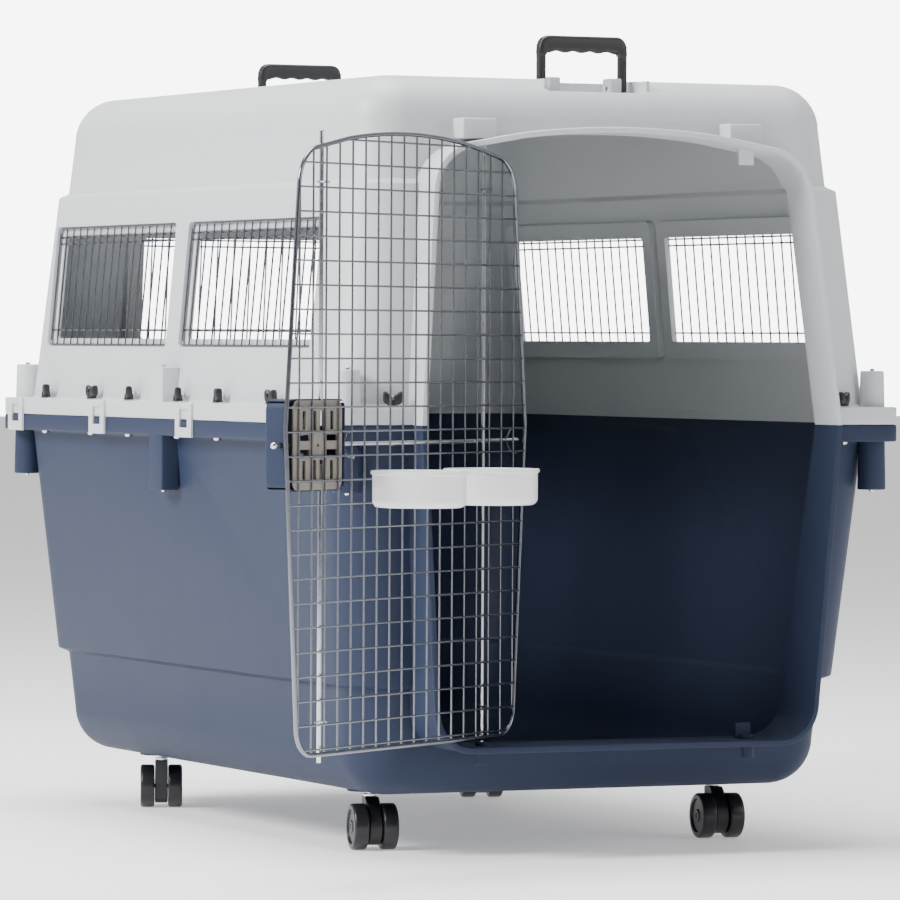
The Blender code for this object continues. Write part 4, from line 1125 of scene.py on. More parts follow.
class UpperShell:
    """The light grey upper shell with its windows, clips, posts and handle pockets."""

    def __init__(self, shop: Workshop) -> None:
        """Builds the shell.

        Args:
            shop: Where pieces are made.
        """
        shell = ShellMaker(shop, UPPER).build()
        post_z = (SHELL.split + SHELL.upper_flange / 2, SHELL.split + FITTING.post_top)
        shop.combine(shell, posts(post_z, post_z, 0.0015), "UNION")
        shop.combine(shell, self.brackets(), "UNION")
        shop.combine(shell, self.stop(), "UNION")
        depth = WINDOW.recess + WINDOW.pad
        pads = window_blocks(WINDOW.side_ledge, WINDOW.flat_ledge, -depth, -SHELL.wall / 4, 0.012)
        shop.combine(shell, pads, "UNION")
        recess = window_blocks(0.0, 0.0, -WINDOW.recess, 0.06, WINDOW.corner)
        shop.combine(shell, recess, "DIFFERENCE")
        ledges = (-WINDOW.side_ledge, -WINDOW.flat_ledge)
        shop.combine(shell, window_blocks(*ledges, -2 * depth, 0.06, 0.005), "DIFFERENCE")
        tabs, slots = self.clips()
        shop.combine(shell, tabs, "UNION")
        shop.combine(shell, slots, "DIFFERENCE")
        self.add_pockets(shop, shell)
        shop.combine(shell, flange_holes(), "DIFFERENCE")
        top = SHELL.roof - DOORWAY.top_drop
        shop.combine(shell, rod_holes(top - 0.036, top - 0.005), "DIFFERENCE")
        finish = shop.finishes.grey
        shop.piece("upper_shell_moulding", shell, finish, Slot.GREY, Body.CRATE.value, ["upper_shell"])

    def brackets(self) -> bmesh.types.BMesh:
        """The blocks above the doorway that back the upper rod holes."""
        shape = bmesh.new()
        low_z = SHELL.roof - DOORWAY.top_drop - 0.0095
        for x in (DOOR.hinge_x, DOOR.hinge_x + DOOR.latch_rod_u):
            low = (x - 0.0235, -SHELL.wall_y + 0.016, low_z)
            box(low, (x + 0.0235, -SHELL.wall_y + 0.060, low_z + 0.026), 0.002, shape)
        return shape

    def stop(self) -> bmesh.types.BMesh:
        """The upper stop tab on the latch side."""
        edge = crossings(doorway_outline(), 0, DOOR.hinge_x + DOOR.latch_rod_u)[1]
        return stop_tab(edge - 0.019, edge + 0.003)

    def clips(self) -> tuple[bmesh.types.BMesh, bmesh.types.BMesh]:
        """Tabs that drape over the lower flange, and the slots in them."""
        tabs = bmesh.new()
        slots = bmesh.new()
        out = SHELL.flange_width / 2 + SHELL.gap
        for side in (-1, 1):
            for y in clip_places():
                self.add_clip(tabs, side, out, y)
                low_x, high_x = sorted((side * (out - 0.0003), side * (out + 0.006)))
                low = (low_x, y - FITTING.slot_length / 2, SHELL.split - FITTING.slot_low)
                high = (high_x, y + FITTING.slot_length / 2, SHELL.split + FITTING.slot_high)
                box(low, high, 0.0, slots)
        return tabs, slots

    def add_clip(self, tabs: bmesh.types.BMesh, side: int, out: float, y: float) -> None:
        """Adds one tab as an upside-down L, so that it clears the lower flange."""
        top = SHELL.split + SHELL.upper_flange - 0.0004
        joint = SHELL.split + FITTING.slot_high + 0.0015
        inner, outer = out - 0.004, out + FITTING.clip_thick
        bottom = SHELL.split - FITTING.clip_drop
        section = [
            (inner, joint),
            (out, joint),
            (out, bottom),
            (outer - 0.0008, bottom),
            (outer, bottom + 0.0012),
            (outer, top - 0.0015),
            (outer - 0.0015, top),
            (inner, top),
        ]
        half = FITTING.clip_length / 2
        rings = []
        for end, shrink in ((-half, 0.0), (half, 0.0)):
            rings.append([Vector((side * x, y + end, z - shrink)) for x, z in section])
        merged(loft(rings), tabs)

    def add_pockets(self, shop: Workshop, shell: bpy.types.Object) -> None:
        """Sinks the handle pockets into the roof and stands the ears in them."""
        half_x = HANDLE.width / 2 + HANDLE.pocket_side
        floor_z = SHELL.roof - HANDLE.pocket_depth
        trays = bmesh.new()
        hollows = bmesh.new()
        ears = bmesh.new()
        holes = bmesh.new()
        for y in handle_places().values():
            side = math.copysign(1.0, y)
            edge, back = y + side * HANDLE.pocket_front, y - side * HANDLE.pocket_back
            low_y, high_y = sorted((edge, back - side * SHELL.wall))
            tray_low = (-half_x - SHELL.wall, low_y, floor_z - SHELL.wall)
            box(tray_low, (half_x + SHELL.wall, high_y, SHELL.roof - 0.0009), 0.0, trays)
            low_y, high_y = sorted((edge + side * SHELL.wall, back))
            box((-half_x, low_y, floor_z), (half_x, high_y, SHELL.roof + 0.02), 0.003, hollows)
            for ear in (-1, 1):
                outer = ear * (HANDLE.width / 2 - HANDLE.leg - 0.001)
                low_x, high_x = sorted((outer, outer - ear * HANDLE.ear_width))
                low = (low_x, y - HANDLE.ear_depth / 2, floor_z - SHELL.wall / 2)
                high = (high_x, y + HANDLE.ear_depth / 2, SHELL.roof + HANDLE.ear_rise)
                box(low, high, 0.0018, ears)
                z = SHELL.roof - HANDLE.pivot_drop
                rod((low_x - 0.001, y, z), (high_x + 0.001, y, z), HANDLE.pin + 0.0005, 20, holes)
        shop.combine(shell, trays, "UNION")
        shop.combine(shell, hollows, "DIFFERENCE")
        shop.combine(shell, ears, "UNION")
        shop.combine(shell, holes, "DIFFERENCE")


def handle_places() -> dict[str, float]:
    """Each handle's place along Y."""
    y = SHELL.flange_length / 2 - HANDLE.from_flange
    return {"handle_front": -y, "handle_rear": y}


# ------------------------------------------------------------------ wire and fasteners
class Grilles:
    """The window grilles, of round welded wire in a wire frame."""

    def __init__(self, shop: Workshop) -> None:
        """Builds one grille for each window.

        Args:
            shop: Where pieces are made.
        """
        for name, frame, length in windows():
            node = f"grille_{name}"
            half_x = length / 2 - 0.0006 - WINDOW.edge_wire
            half_y = WINDOW.height / 2 - 0.0006 - WINDOW.edge_wire
            z = -WINDOW.recess + 0.0028
            rim = rounded_rectangle(half_x, half_y, WINDOW.corner, z, 6)
            edge = shop.wires(f"{node}_frame", [(rim, True)], WINDOW.edge_wire)
            crate = Body.CRATE.value
            wire = shop.finishes.wire
            shop.piece(f"{node}_frame", edge, wire, Slot.WIRE, crate, [node], frame)
            runs = self.uprights(half_x, half_y, z + 0.001) + self.rails(half_x, half_y, z - 0.0012)
            mesh = shop.wires(f"{node}_wires", runs, WINDOW.wire)
            shop.piece(f"{node}_wires", mesh, wire, Slot.WIRE, crate, (), frame)

    def uprights(self, half_x: float, half_y: float, z: float):
        """The upright wires, evenly spaced."""
        count = round(2 * half_x / WINDOW.pitch)
        places = [-half_x + 2 * half_x * i / count for i in range(1, count)]
        return [([Vector((x, -half_y, z)), Vector((x, half_y, z))], False) for x in places]

    def rails(self, half_x: float, half_y: float, z: float):
        """The level wires, a pair near the top and one near the bottom."""
        levels = [half_y - WINDOW.rails[0], half_y - WINDOW.rails[1], -half_y + WINDOW.rails[1]]
        return [([Vector((-half_x, y, z)), Vector((half_x, y, z))], False) for y in levels]


class Fasteners:
    """Tie rods through the posts, and the bolts with their wing nuts."""

    def __init__(self, shop: Workshop) -> None:
        """Builds them all.

        Args:
            shop: Where pieces are made.
        """
        self.shop = shop
        corners, middles = post_places()
        names = ("front_left", "rear_left", "front_right", "rear_right")
        for name, (x, y) in zip(names, corners):
            self.tie_rod(f"tie_rod_{name}", x, y, FITTING.post_drop)
        for name, (x, y) in zip(("mid_left", "mid_right"), middles):
            self.tie_rod(f"tie_rod_{name}", x, y, FITTING.mid_drop)
        self.bolts()

    def tie_rod(self, node: str, x: float, y: float, drop: float) -> None:
        """Makes one rod with rounded ends."""
        low = (x, y, SHELL.split - drop - 0.003)
        high = (x, y, SHELL.split + FITTING.post_top + 0.003)
        shape = rod(low, high, FITTING.rod, 20, None, 0.001)
        steel = self.shop.finishes.steel
        self.shop.piece(f"{node}_bar", shape, steel, Slot.STEEL, Body.CRATE.value, [node])

    def bolts(self) -> None:
        """Makes the bolts and nuts from two shared meshes."""
        steel = self.shop.finishes.steel
        black = self.shop.finishes.black
        bolt = self.shop.raw("bolt", self.bolt_shape()).data
        nut = self.shop.raw("nut", self.nut_shape()).data
        for pattern in ("bolt", "nut"):
            bpy.data.objects.remove(bpy.data.objects[pattern])
        for node, x, y, turn in bolt_places():
            place = Matrix.Translation((x, y, SHELL.split)) @ Matrix.Rotation(turn, 4, "Z")
            crate = Body.CRATE.value
            self.shop.piece(f"{node}_screw", bolt, steel, Slot.STEEL, crate, (), place)
            self.shop.piece(f"{node}_wing_nut", nut, black, Slot.BLACK, crate, [node], place)

    def bolt_shape(self) -> bmesh.types.BMesh:
        """A carriage bolt with a domed head and the washer above the flange."""
        under = -SHELL.lower_flange - SHELL.gap
        over = SHELL.upper_flange + SHELL.gap
        dome = [(0.0015, under - 0.004), (0.0035, under - 0.0036), (0.0049, under - 0.0026)]
        head = dome + [(0.0055, under - 0.0012), (0.0055, under)]
        shank = [(FITTING.bolt, under), (FITTING.bolt, over)]
        washer = [(0.0078, over), (0.0078, over + 0.0011), (FITTING.bolt, over + 0.0011)]
        tip = [(FITTING.bolt, over + 0.0125), (0.0018, over + 0.0138)]
        return turned(head + shank + washer + tip, 28)

    def nut_shape(self) -> bmesh.types.BMesh:
        """A moulded wing nut: a tapered hub and two upswept wings."""
        base = SHELL.upper_flange + SHELL.gap + 0.0011
        hub = [(0.0062, base), (0.0066, base + 0.0006), (0.0060, base + 0.0075), (0.0052, base + 0.0084)]
        shape = turned(hub + [(0.0031, base + 0.0086), (0.0031, base + 0.0084)], 28)
        for side in (1, -1):
            rings = []
            for x, low, high, thick in (
                (0.0020, 0.0010, 0.0135, 0.0047),
                (0.0050, 0.0010, 0.0150, 0.0047),
                (0.0078, 0.0014, 0.0178, 0.0046),
                (0.0102, 0.0026, 0.0184, 0.0044),
                (0.0118, 0.0044, 0.0176, 0.0038),
                (0.0125, 0.0070, 0.0152, 0.0022),
            ):
                rings.append(self.wing_ring(side * x, base + low, base + high, thick))
            merged(loft(rings), shape)
        return shape

    def wing_ring(self, x: float, low: float, high: float, half: float) -> Outline:
        """A rounded upright section of a wing."""
        middle, reach = (low + high) / 2, (high - low) / 2
        points = []
        for i in range(16):
            angle = math.tau * i / 16
            squared = abs(math.cos(angle)) ** 0.6 * math.copysign(1, math.cos(angle))
            lifted = abs(math.sin(angle)) ** 0.6 * math.copysign(1, math.sin(angle))
            points.append(Vector((x, half * squared, middle + reach * lifted)))
        return points


# ------------------------------------------------------------------ casters
class Casters:
    """Four swivelling casters, each with two wheels on one axle."""

    def __init__(self, shop: Workshop) -> None:
        """Builds all four.

        Args:
            shop: Where pieces are made.
        """
        x, y = SHELL.wall_x - CASTER.x_inset, SHELL.wall_y - CASTER.y_inset
        for place, turn in CASTER.turns:
            spot = (x if place.endswith("right") else -x, y if place.startswith("rear") else -y, 0.0)
            frame = Matrix.Translation(spot) @ Matrix.Rotation(turn, 4, "Z")
            self.build(shop, place, frame)

    def build(self, shop: Workshop, place: str, frame: Matrix) -> None:
        """Makes one caster.

        Args:
            shop: Where pieces are made.
            place: Which corner it is on.
            frame: Its own frame, at the stem.
        """
        node = f"caster_{place}"
        top = -CASTER.hood_top
        stem = [(0.0088, top + 0.0003), (0.009, top + 0.001), (0.009, top + 0.0034), (0.0084, top + 0.004)]
        stem += [(CASTER.stem, top + 0.004), (CASTER.stem, CASTER.reach - 0.001), (0.003, CASTER.reach)]
        steel, black, tread = shop.finishes.steel, shop.finishes.black, shop.finishes.tread
        crate, swivel = Body.CRATE.value, f"swivel_{place}"
        shape = turned(stem, 28)
        shop.piece(f"{node}_pin", shape, steel, Slot.STEEL, crate, [f"{node}_stem"], frame)
        shop.piece(f"{node}_hood", self.hood(), black, Slot.BLACK, swivel, [f"{node}_body"], frame)
        for side, sign in (("left", -1), ("right", 1)):
            turn = Matrix.Rotation(sign * math.pi / 2, 4, "Y")
            inner = sign * (CASTER.hood_width / 2 + CASTER.gap)
            spot = Matrix.Translation((inner, CASTER.trail, CASTER.wheel - CASTER.height))
            wheel = self.wheel()
            body = f"wheel_{place}_{side}"
            name = f"{node}_wheel_{side}"
            shop.piece(f"{name}_tyre", wheel, tread, Slot.BLACK, body, [name], frame @ spot @ turn)

    def hood(self) -> bmesh.types.BMesh:
        """The moulded body between the wheels, with a fender that follows them."""
        axle_z = CASTER.wheel - CASTER.height
        points = [(-0.009, -CASTER.hood_top), (-0.0095, -CASTER.hood_top - 0.004)]
        for step in range(25):
            angle = math.radians(190.0 + 210.0 * step / 24)
            points.append((CASTER.trail + 0.024 * math.cos(angle), axle_z + 0.024 * math.sin(angle)))
        points += [(0.018, -CASTER.hood_top - 0.003), (0.012, -CASTER.hood_top)]
        half = CASTER.hood_width / 2
        rings = []
        for x, pull in ((-half, 0.9), (-half + 0.0015, 1.0), (half - 0.0015, 1.0), (half, 0.9)):
            ring = []
            for y, z in points:
                middle = CASTER.trail / 2
                lift = pull if z < axle_z else 1.0
                ring.append(Vector((x, middle + (y - middle) * pull, axle_z + (z - axle_z) * lift)))
            rings.append(ring)
        shape = loft(rings)
        reach = half + CASTER.wheel_width
        return rod((-reach, CASTER.trail, axle_z), (reach, CASTER.trail, axle_z), 0.003, 20, shape, 0.0006)

    def wheel(self) -> bmesh.types.BMesh:
        """A wheel with a crowned tread and a dished outer face."""
        width, radius = CASTER.wheel_width, CASTER.wheel
        profile = [(0.0035, 0.0), (radius - 0.004, 0.0)]
        for step in range(7):
            angle = math.pi / 2 * step / 6
            profile.append((radius - 0.0035 * (1 - math.sin(angle)), 0.0035 * (1 - math.cos(angle))))
        for step in range(7):
            angle = math.pi / 2 * step / 6
            profile.append((radius - 0.0035 * (1 - math.cos(angle)), width - 0.0035 * (1 - math.sin(angle))))
        profile += [(radius - 0.0075, width), (radius - 0.0085, width - 0.0022)]
        profile += [(0.009, width - 0.0016), (0.0075, width - 0.0002), (0.0035, width - 0.0002)]
        rings = []
        for r, z in profile:
            angles = [math.tau * i / 48 for i in range(48)]
            rings.append([Vector((r * math.cos(a), r * math.sin(a), z)) for a in angles])
        return loft(rings, loop=True)


# ------------------------------------------------------------------ door
def door_frame() -> Matrix:
    """The door's own frame at rest: X from the hinge to the latch, Y to the inner face when shut."""
    return Matrix.Translation((DOOR.hinge_x, hinge_y(), 0.0)) @ Matrix.Rotation(DOOR.rest_turn, 4, "Z")


def latch_z() -> float:
    """Height of the latch's middle."""
    return SHELL.split - DOOR.latch_drop


class Door:
    """The welded wire door with its hinge rod."""

    def __init__(self, shop: Workshop) -> None:
        """Builds the door.

        Args:
            shop: Where pieces are made.
        """
        self.shop = shop
        inset = DOOR.clearance + DOOR.frame_rod
        shifted = [Vector((p.x - DOOR.hinge_x, p.y)) for p in grown(doorway_outline(), -inset)]
        self.outline = shifted
        self.piece("door_frame_rod", self.frame(), ["door_grid"])
        self.piece("door_upright_wires", self.uprights())
        self.piece("door_level_wires", self.levels())
        self.hinge_rod()
        self.guides()

    def piece(self, name: str, data, replaces: Sequence[str] = ()) -> None:
        """Adds a wire piece of the door."""
        wire = self.shop.finishes.wire
        self.shop.piece(name, data, wire, Slot.WIRE, Body.DOOR.value, replaces, door_frame())

    def frame(self):
        """The rod round the door."""
        points = [Vector((p.x, DOOR.mesh_v, p.y)) for p in self.outline]
        return self.shop.wires("door_frame_rod", [(points, True)], DOOR.frame_rod)

    def places(self, first: float, low: float, high: float) -> list[float]:
        """Wire places at the door's pitch, through a first one."""
        found = []
        start = first - math.floor((first - low - 0.006) / DOOR.pitch) * DOOR.pitch
        while start < high - 0.006:
            found.append(start)
            start += DOOR.pitch
        return found

    def uprights(self):
        """The upright wires, on the face away from the bowls."""
        low, high = min(p.x for p in self.outline), max(p.x for p in self.outline)
        v = DOOR.mesh_v - DOOR.wire
        runs = []
        for u in self.places(DOOR.first_wire, low, high):
            bottom, top = crossings(self.outline, 0, u)
            runs.append(([Vector((u, v, bottom)), Vector((u, v, top))], False))
        return self.shop.wires("door_upright_wires", runs, DOOR.wire)

    def levels(self):
        """The level wires, on the inner face."""
        low, high = min(p.y for p in self.outline), max(p.y for p in self.outline)
        v = DOOR.mesh_v + DOOR.wire * 0.9
        runs = []
        first = SHELL.roof - DOORWAY.top_drop - DOOR.top_wire_drop
        for z in self.places(first, low, high):
            near, far = crossings(self.outline, 1, z)
            runs.append(([Vector((near, v, z)), Vector((far, v, z))], False))
        return self.shop.wires("door_level_wires", runs, DOOR.wire)

    def hinge_rod(self) -> None:
        """The long rod that the door swings on, with a ball above the sill."""
        sill = DOORWAY.sill + 0.0055
        top = crossings(doorway_outline(), 0, DOOR.hinge_x)[1] + 0.006
        ball = sill + 0.0047
        profile = [(0.0018, sill - 0.005), (DOOR.rod, sill - 0.004), (DOOR.rod, ball - 0.0036)]
        for step in range(9):
            angle = math.pi * (step / 8 - 0.5) * 0.72
            profile.append((0.0046 * math.cos(angle), ball + 0.0046 * math.sin(angle)))
        profile += [(DOOR.rod, ball + 0.0042), (DOOR.rod, top - 0.001), (0.0018, top)]
        steel = self.shop.finishes.steel
        shape = turned(profile, 28)
        door = Body.DOOR.value
        self.shop.piece("hinge_bar", shape, steel, Slot.STEEL, door, ["hinge_rod"], door_frame())

    def guides(self) -> None:
        """Bent wires that tie the upright rods to the mesh."""
        runs = []
        top = crossings(self.outline, 0, 0.0)[1]
        for u in (0.0, DOOR.latch_rod_u):
            for z in (DOORWAY.sill + 0.050, top - 0.045):
                runs.append((self.hoop(u, z), False))
        curve = self.shop.wires("rod_guides", runs, 0.0013)
        self.piece("rod_guides", curve)

    def hoop(self, u: float, z: float) -> list[Vector]:
        """A hoop round an upright rod, with its feet on the mesh."""
        reach = DOOR.rod + 0.0017
        points = [Vector((u - reach, DOOR.mesh_v, z))]
        for step in range(9):
            angle = math.pi * (1 + step / 8)
            points.append(Vector((u + reach * math.cos(angle), reach * math.sin(angle), z)))
        points.append(Vector((u + reach, DOOR.mesh_v, z)))
        return points


class Latch:
    """The latch: its box, plate, rods, bolts and slides."""

    def __init__(self, shop: Workshop) -> None:
        """Builds the latch.

        Args:
            shop: Where pieces are made.
        """
        self.shop = shop
        self.face = DOOR.mesh_v - 0.0025 - SHELL.gap
        self.housing()
        self.plate()
        self.rods()
        self.bolts()
        self.spring()

    def put(self, name, shape, finish, slot, body, replaces=()) -> None:
        """Adds a piece in the door's frame."""
        self.shop.piece(name, shape, finish, slot, body, replaces, door_frame())

    def housing(self) -> None:
        """The blue box on the outer face, open toward the plate."""
        width, depth, height = DOOR.housing
        back = self.face - DOOR.plate[1] - SHELL.gap
        low = Vector((DOOR.latch_u - width / 2, back - depth, latch_z() - height / 2))
        high = Vector((DOOR.latch_u + width / 2, back, latch_z() + height / 2))
        corners = rounded_rectangle(width / 2, height / 2, 0.012, 0.0, 8)
        rings = []
        for step in range(6):
            angle = math.pi / 2 * step / 5
            y = low.y + 0.006 * (1 - math.sin(angle))
            pull = 0.006 * (1 - math.cos(angle))
            rings.append([self.spot(p, 1 - pull / 0.06, y) for p in corners])
        rings = rings[::-1]
        rings.append([self.spot(p, 1.0, high.y) for p in corners])
        made = self.shop.raw("latch_box", loft(rings))
        wall = Vector.Fill(3, DOOR.housing_wall)
        hollow = high - wall
        hollow.y = back + 0.01
        self.shop.combine(made, box(low + wall, hollow), "DIFFERENCE")
        cuts = bmesh.new()
        x = DOOR.latch_rod_u
        for side in (-1, 1):
            start = latch_z() + side * (height / 2 - 0.005)
            rod((x, 0, start), (x, 0, start + side * 0.01), 0.0038, 20, cuts)
            near = DOOR.latch_u + side * (width / 2 - 0.005)
            far = near + side * 0.01
            rod((near, DOOR.bolt_v, latch_z()), (far, DOOR.bolt_v, latch_z()), 0.0038, 20, cuts)
            ends = sorted((latch_z() + side * 0.0335, latch_z() + side * 0.0105))
            low_cut = (x - 0.0065, low.y - 0.003, ends[0])
            box(low_cut, (x + 0.0065, low.y + 0.005, ends[1]), 0.0, cuts)
        self.shop.combine(made, cuts, "DIFFERENCE")
        blue = self.shop.finishes.blue
        self.put("latch_box", made, blue, Slot.BLUE, Body.DOOR.value, ["latch_housing"])

    def spot(self, point: Vector, pull: float, y: float) -> Vector:
        """A point of an upright outline round the latch's middle."""
        return Vector((DOOR.latch_u + point.x * pull, y, latch_z() + point.y * pull))

    def plate(self) -> None:
        """The warm grey plate, pierced by slots."""
        width, thick, height = DOOR.plate
        low = (DOOR.latch_u - width / 2, self.face - thick, latch_z() - height / 2)
        high = (DOOR.latch_u + width / 2, self.face, latch_z() + height / 2)
        corners = rounded_rectangle(width / 2, height / 2, 0.011, 0.0, 6)
        rings = []
        for y, pull in ((low[1], 0.99), (low[1] + 0.0006, 1.0), (high[1] - 0.0006, 1.0), (high[1], 0.99)):
            rings.append([Vector((DOOR.latch_u + p.x * pull, y, latch_z() + p.y * pull)) for p in corners])
        made = self.shop.raw("latch_plate", loft(rings))
        cuts = bmesh.new()
        for row in (-1, 1):
            for column in (-1, 1):
                u = DOOR.latch_u + column * 0.0085
                self.window(cuts, u, latch_z() + row * 0.0295, 0.0095, 0.0235)
                u = DOOR.latch_u + column * 0.031
                self.window(cuts, u, latch_z() + row * 0.0300, 0.0070, 0.0225)
                self.window(cuts, u, latch_z() + row * 0.0090, 0.0250, 0.0075)
        rod((DOOR.latch_u, self.face - 0.01, latch_z()), (DOOR.latch_u, 0.02, latch_z()), 0.0022, 20, cuts)
        self.shop.combine(made, cuts, "DIFFERENCE")
        beige = self.shop.finishes.beige
        self.put("latch_plate", made, beige, Slot.BEIGE, Body.DOOR.value, ["latch_back_plate"])

    def window(self, into, u: float, z: float, width: float, height: float) -> None:
        """Adds a cut through the plate."""
        low = (u - width / 2, self.face - 0.01, z - height / 2)
        box(low, (u + width / 2, self.face + 0.01, z + height / 2), 0.0, into)

    def rods(self) -> None:
        """The upright latch rods and their thumb slides."""
        u = DOOR.latch_rod_u
        tip = crossings(doorway_outline(), 0, DOOR.hinge_x + u)[1] + 0.006
        ends = {"upper": (1, tip), "lower": (-1, DOORWAY.sill + 0.0005)}
        front = self.face - DOOR.plate[1] - SHELL.gap - DOOR.housing[1]
        for name, (side, end) in ends.items():
            start = latch_z() + side * 0.023
            bar = rod((u, 0, start), (u, 0, end), DOOR.rod, 24, None, 0.0009)
            steel, beige = self.shop.finishes.steel, self.shop.finishes.beige
            body = f"latch_{name}"
            self.put(f"{body}_bar", bar, steel, Slot.STEEL, body, [f"{body}_rod"])
            middle = latch_z() + side * 0.028
            low = (u - 0.006, front - 0.008, middle - 0.005)
            slide = box(low, (u + 0.006, -DOOR.rod - 0.0003, middle + 0.005), 0.0012)
            self.put(f"{body}_slide", slide, beige, Slot.BEIGE, body, [f"{body}_thumb"])

    def bolts(self) -> None:
        """The level bolts on both sides of the latch."""
        outline = doorway_outline()
        low_u = min(p.x for p in outline) - DOOR.hinge_x
        high_u = max(p.x for p in outline) - DOOR.hinge_x
        half = DOOR.housing[0] / 2
        steel = self.shop.finishes.steel
        start = DOOR.latch_u + half - 0.018
        ball = high_u - 0.0045 - 0.0045
        profile = [(0.002, 0.0), (DOOR.rod, 0.001), (DOOR.rod, ball - start - 0.0036)]
        for step in range(9):
            angle = math.pi * (step / 8 * 0.9 - 0.4)
            profile.append((max(0.0045 * math.cos(angle), 0.0004), ball - start + 0.0045 * math.sin(angle)))
        aim = Matrix.Translation((start, DOOR.bolt_v, latch_z())) @ Matrix.Rotation(math.pi / 2, 4, "Y")
        short = turned(profile, 24, None, aim)
        self.put("side_bolt", short, steel, Slot.STEEL, "latch_side", ["latch_side_bolt"])
        near, far = DOOR.latch_u - half + 0.018, low_u + 0.0065
        points = (near, DOOR.bolt_v, latch_z()), (far, DOOR.bolt_v, latch_z())
        long = rod(*points, DOOR.rod, 24, None, 0.0009)
        self.put("long_bolt", long, steel, Slot.STEEL, "latch_long", ["latch_long_bolt"])

    def spring(self) -> None:
        """The small bent wire beside the latch that holds its bolt, and the bolt's keeper."""
        z = latch_z()
        runs = []
        for u in (DOOR.latch_u - DOOR.housing[0] / 2 - 0.012, -0.070):
            reach = DOOR.rod + 0.0016
            points = [Vector((u, DOOR.mesh_v, z - 0.017)), Vector((u, -0.002, z - 0.014))]
            for step in range(9):
                angle = math.pi * (1.5 - step / 8)
                y = DOOR.bolt_v + reach * math.cos(angle)
                points.append(Vector((u, y, z + reach * math.sin(angle))))
            points += [Vector((u, -0.002, z + 0.014)), Vector((u, DOOR.mesh_v, z + 0.017))]
            runs.append((points, False))
        curve = self.shop.wires("bolt_guides", runs, 0.0012)
        self.put("bolt_guides", curve, self.shop.finishes.wire, Slot.WIRE, Body.DOOR.value)


class Bowls:
    """The two cups that hang on the door."""

    RADIUS = 0.060
    HEIGHT = 0.045
    BASE_DROP = 0.0972
    FROM_MESH = 0.0755
    BRACE_SHIFT = 0.006
    PLACES = (("bowl_left", 0.274), ("bowl_right", 0.1045))

    def __init__(self, shop: Workshop) -> None:
        """Builds both cups and their braces.

        Args:
            shop: Where pieces are made.
        """
        self.base = SHELL.split - self.BASE_DROP
        white = shop.finishes.white
        for name, u in self.PLACES:
            spot = door_frame() @ Matrix.Translation((u, self.FROM_MESH, self.base))
            cup = self.cup()
            shop.piece(f"{name}_cup", cup, white, Slot.WHITE, name, [name], spot)
            brace = self.brace(u)
            door = Body.DOOR.value
            hung = [f"{name}_brace"]
            shop.piece(f"{name}_holder", brace, white, Slot.WHITE, door, hung, door_frame())

    def cup(self) -> bmesh.types.BMesh:
        """A cup with a rolled rim, a rounded foot and its hanging tongue."""
        outer = self.RADIUS - 0.0022
        profile = [(0.002, 0.0008), (outer - 0.012, 0.0008), (outer - 0.0105, 0.0)]
        for step in range(8):
            angle = math.pi / 2 * step / 7
            profile.append((outer - 0.009 * (1 - math.sin(angle)), 0.009 * (1 - math.cos(angle))))
        top = self.HEIGHT
        profile += [(outer, top - 0.0048), (self.RADIUS - 0.0006, top - 0.0044), (self.RADIUS, top - 0.0038)]
        profile += [(self.RADIUS, top - 0.001), (self.RADIUS - 0.0008, top), (outer - 0.0012, top)]
        profile += [(outer - 0.0024, top - 0.0012), (outer - 0.0026, 0.0105)]
        for step in range(6):
            angle = math.pi / 2 * step / 5
            foot = outer - 0.0026 - 0.0075 * (1 - math.cos(angle))
            profile.append((foot, 0.0105 - 0.0075 * math.sin(angle)))
        profile.append((0.002, 0.003))
        shape = turned(profile, 64)
        back = 0.0145 - self.FROM_MESH
        near, far = -self.BRACE_SHIFT - 0.007, -self.BRACE_SHIFT + 0.007
        return box((near, back, 0.0255), (far, -outer + 0.0022, 0.0401), 0.0008, shape)

    def brace(self, u: float) -> bmesh.types.BMesh:
        """The plate that hooks over the mesh and carries the cup."""
        middle = u - self.BRACE_SHIFT
        low = (middle - 0.008, 0.0113, self.base)
        return box(low, (middle + 0.008, 0.014, self.base + 0.030), 0.0009)


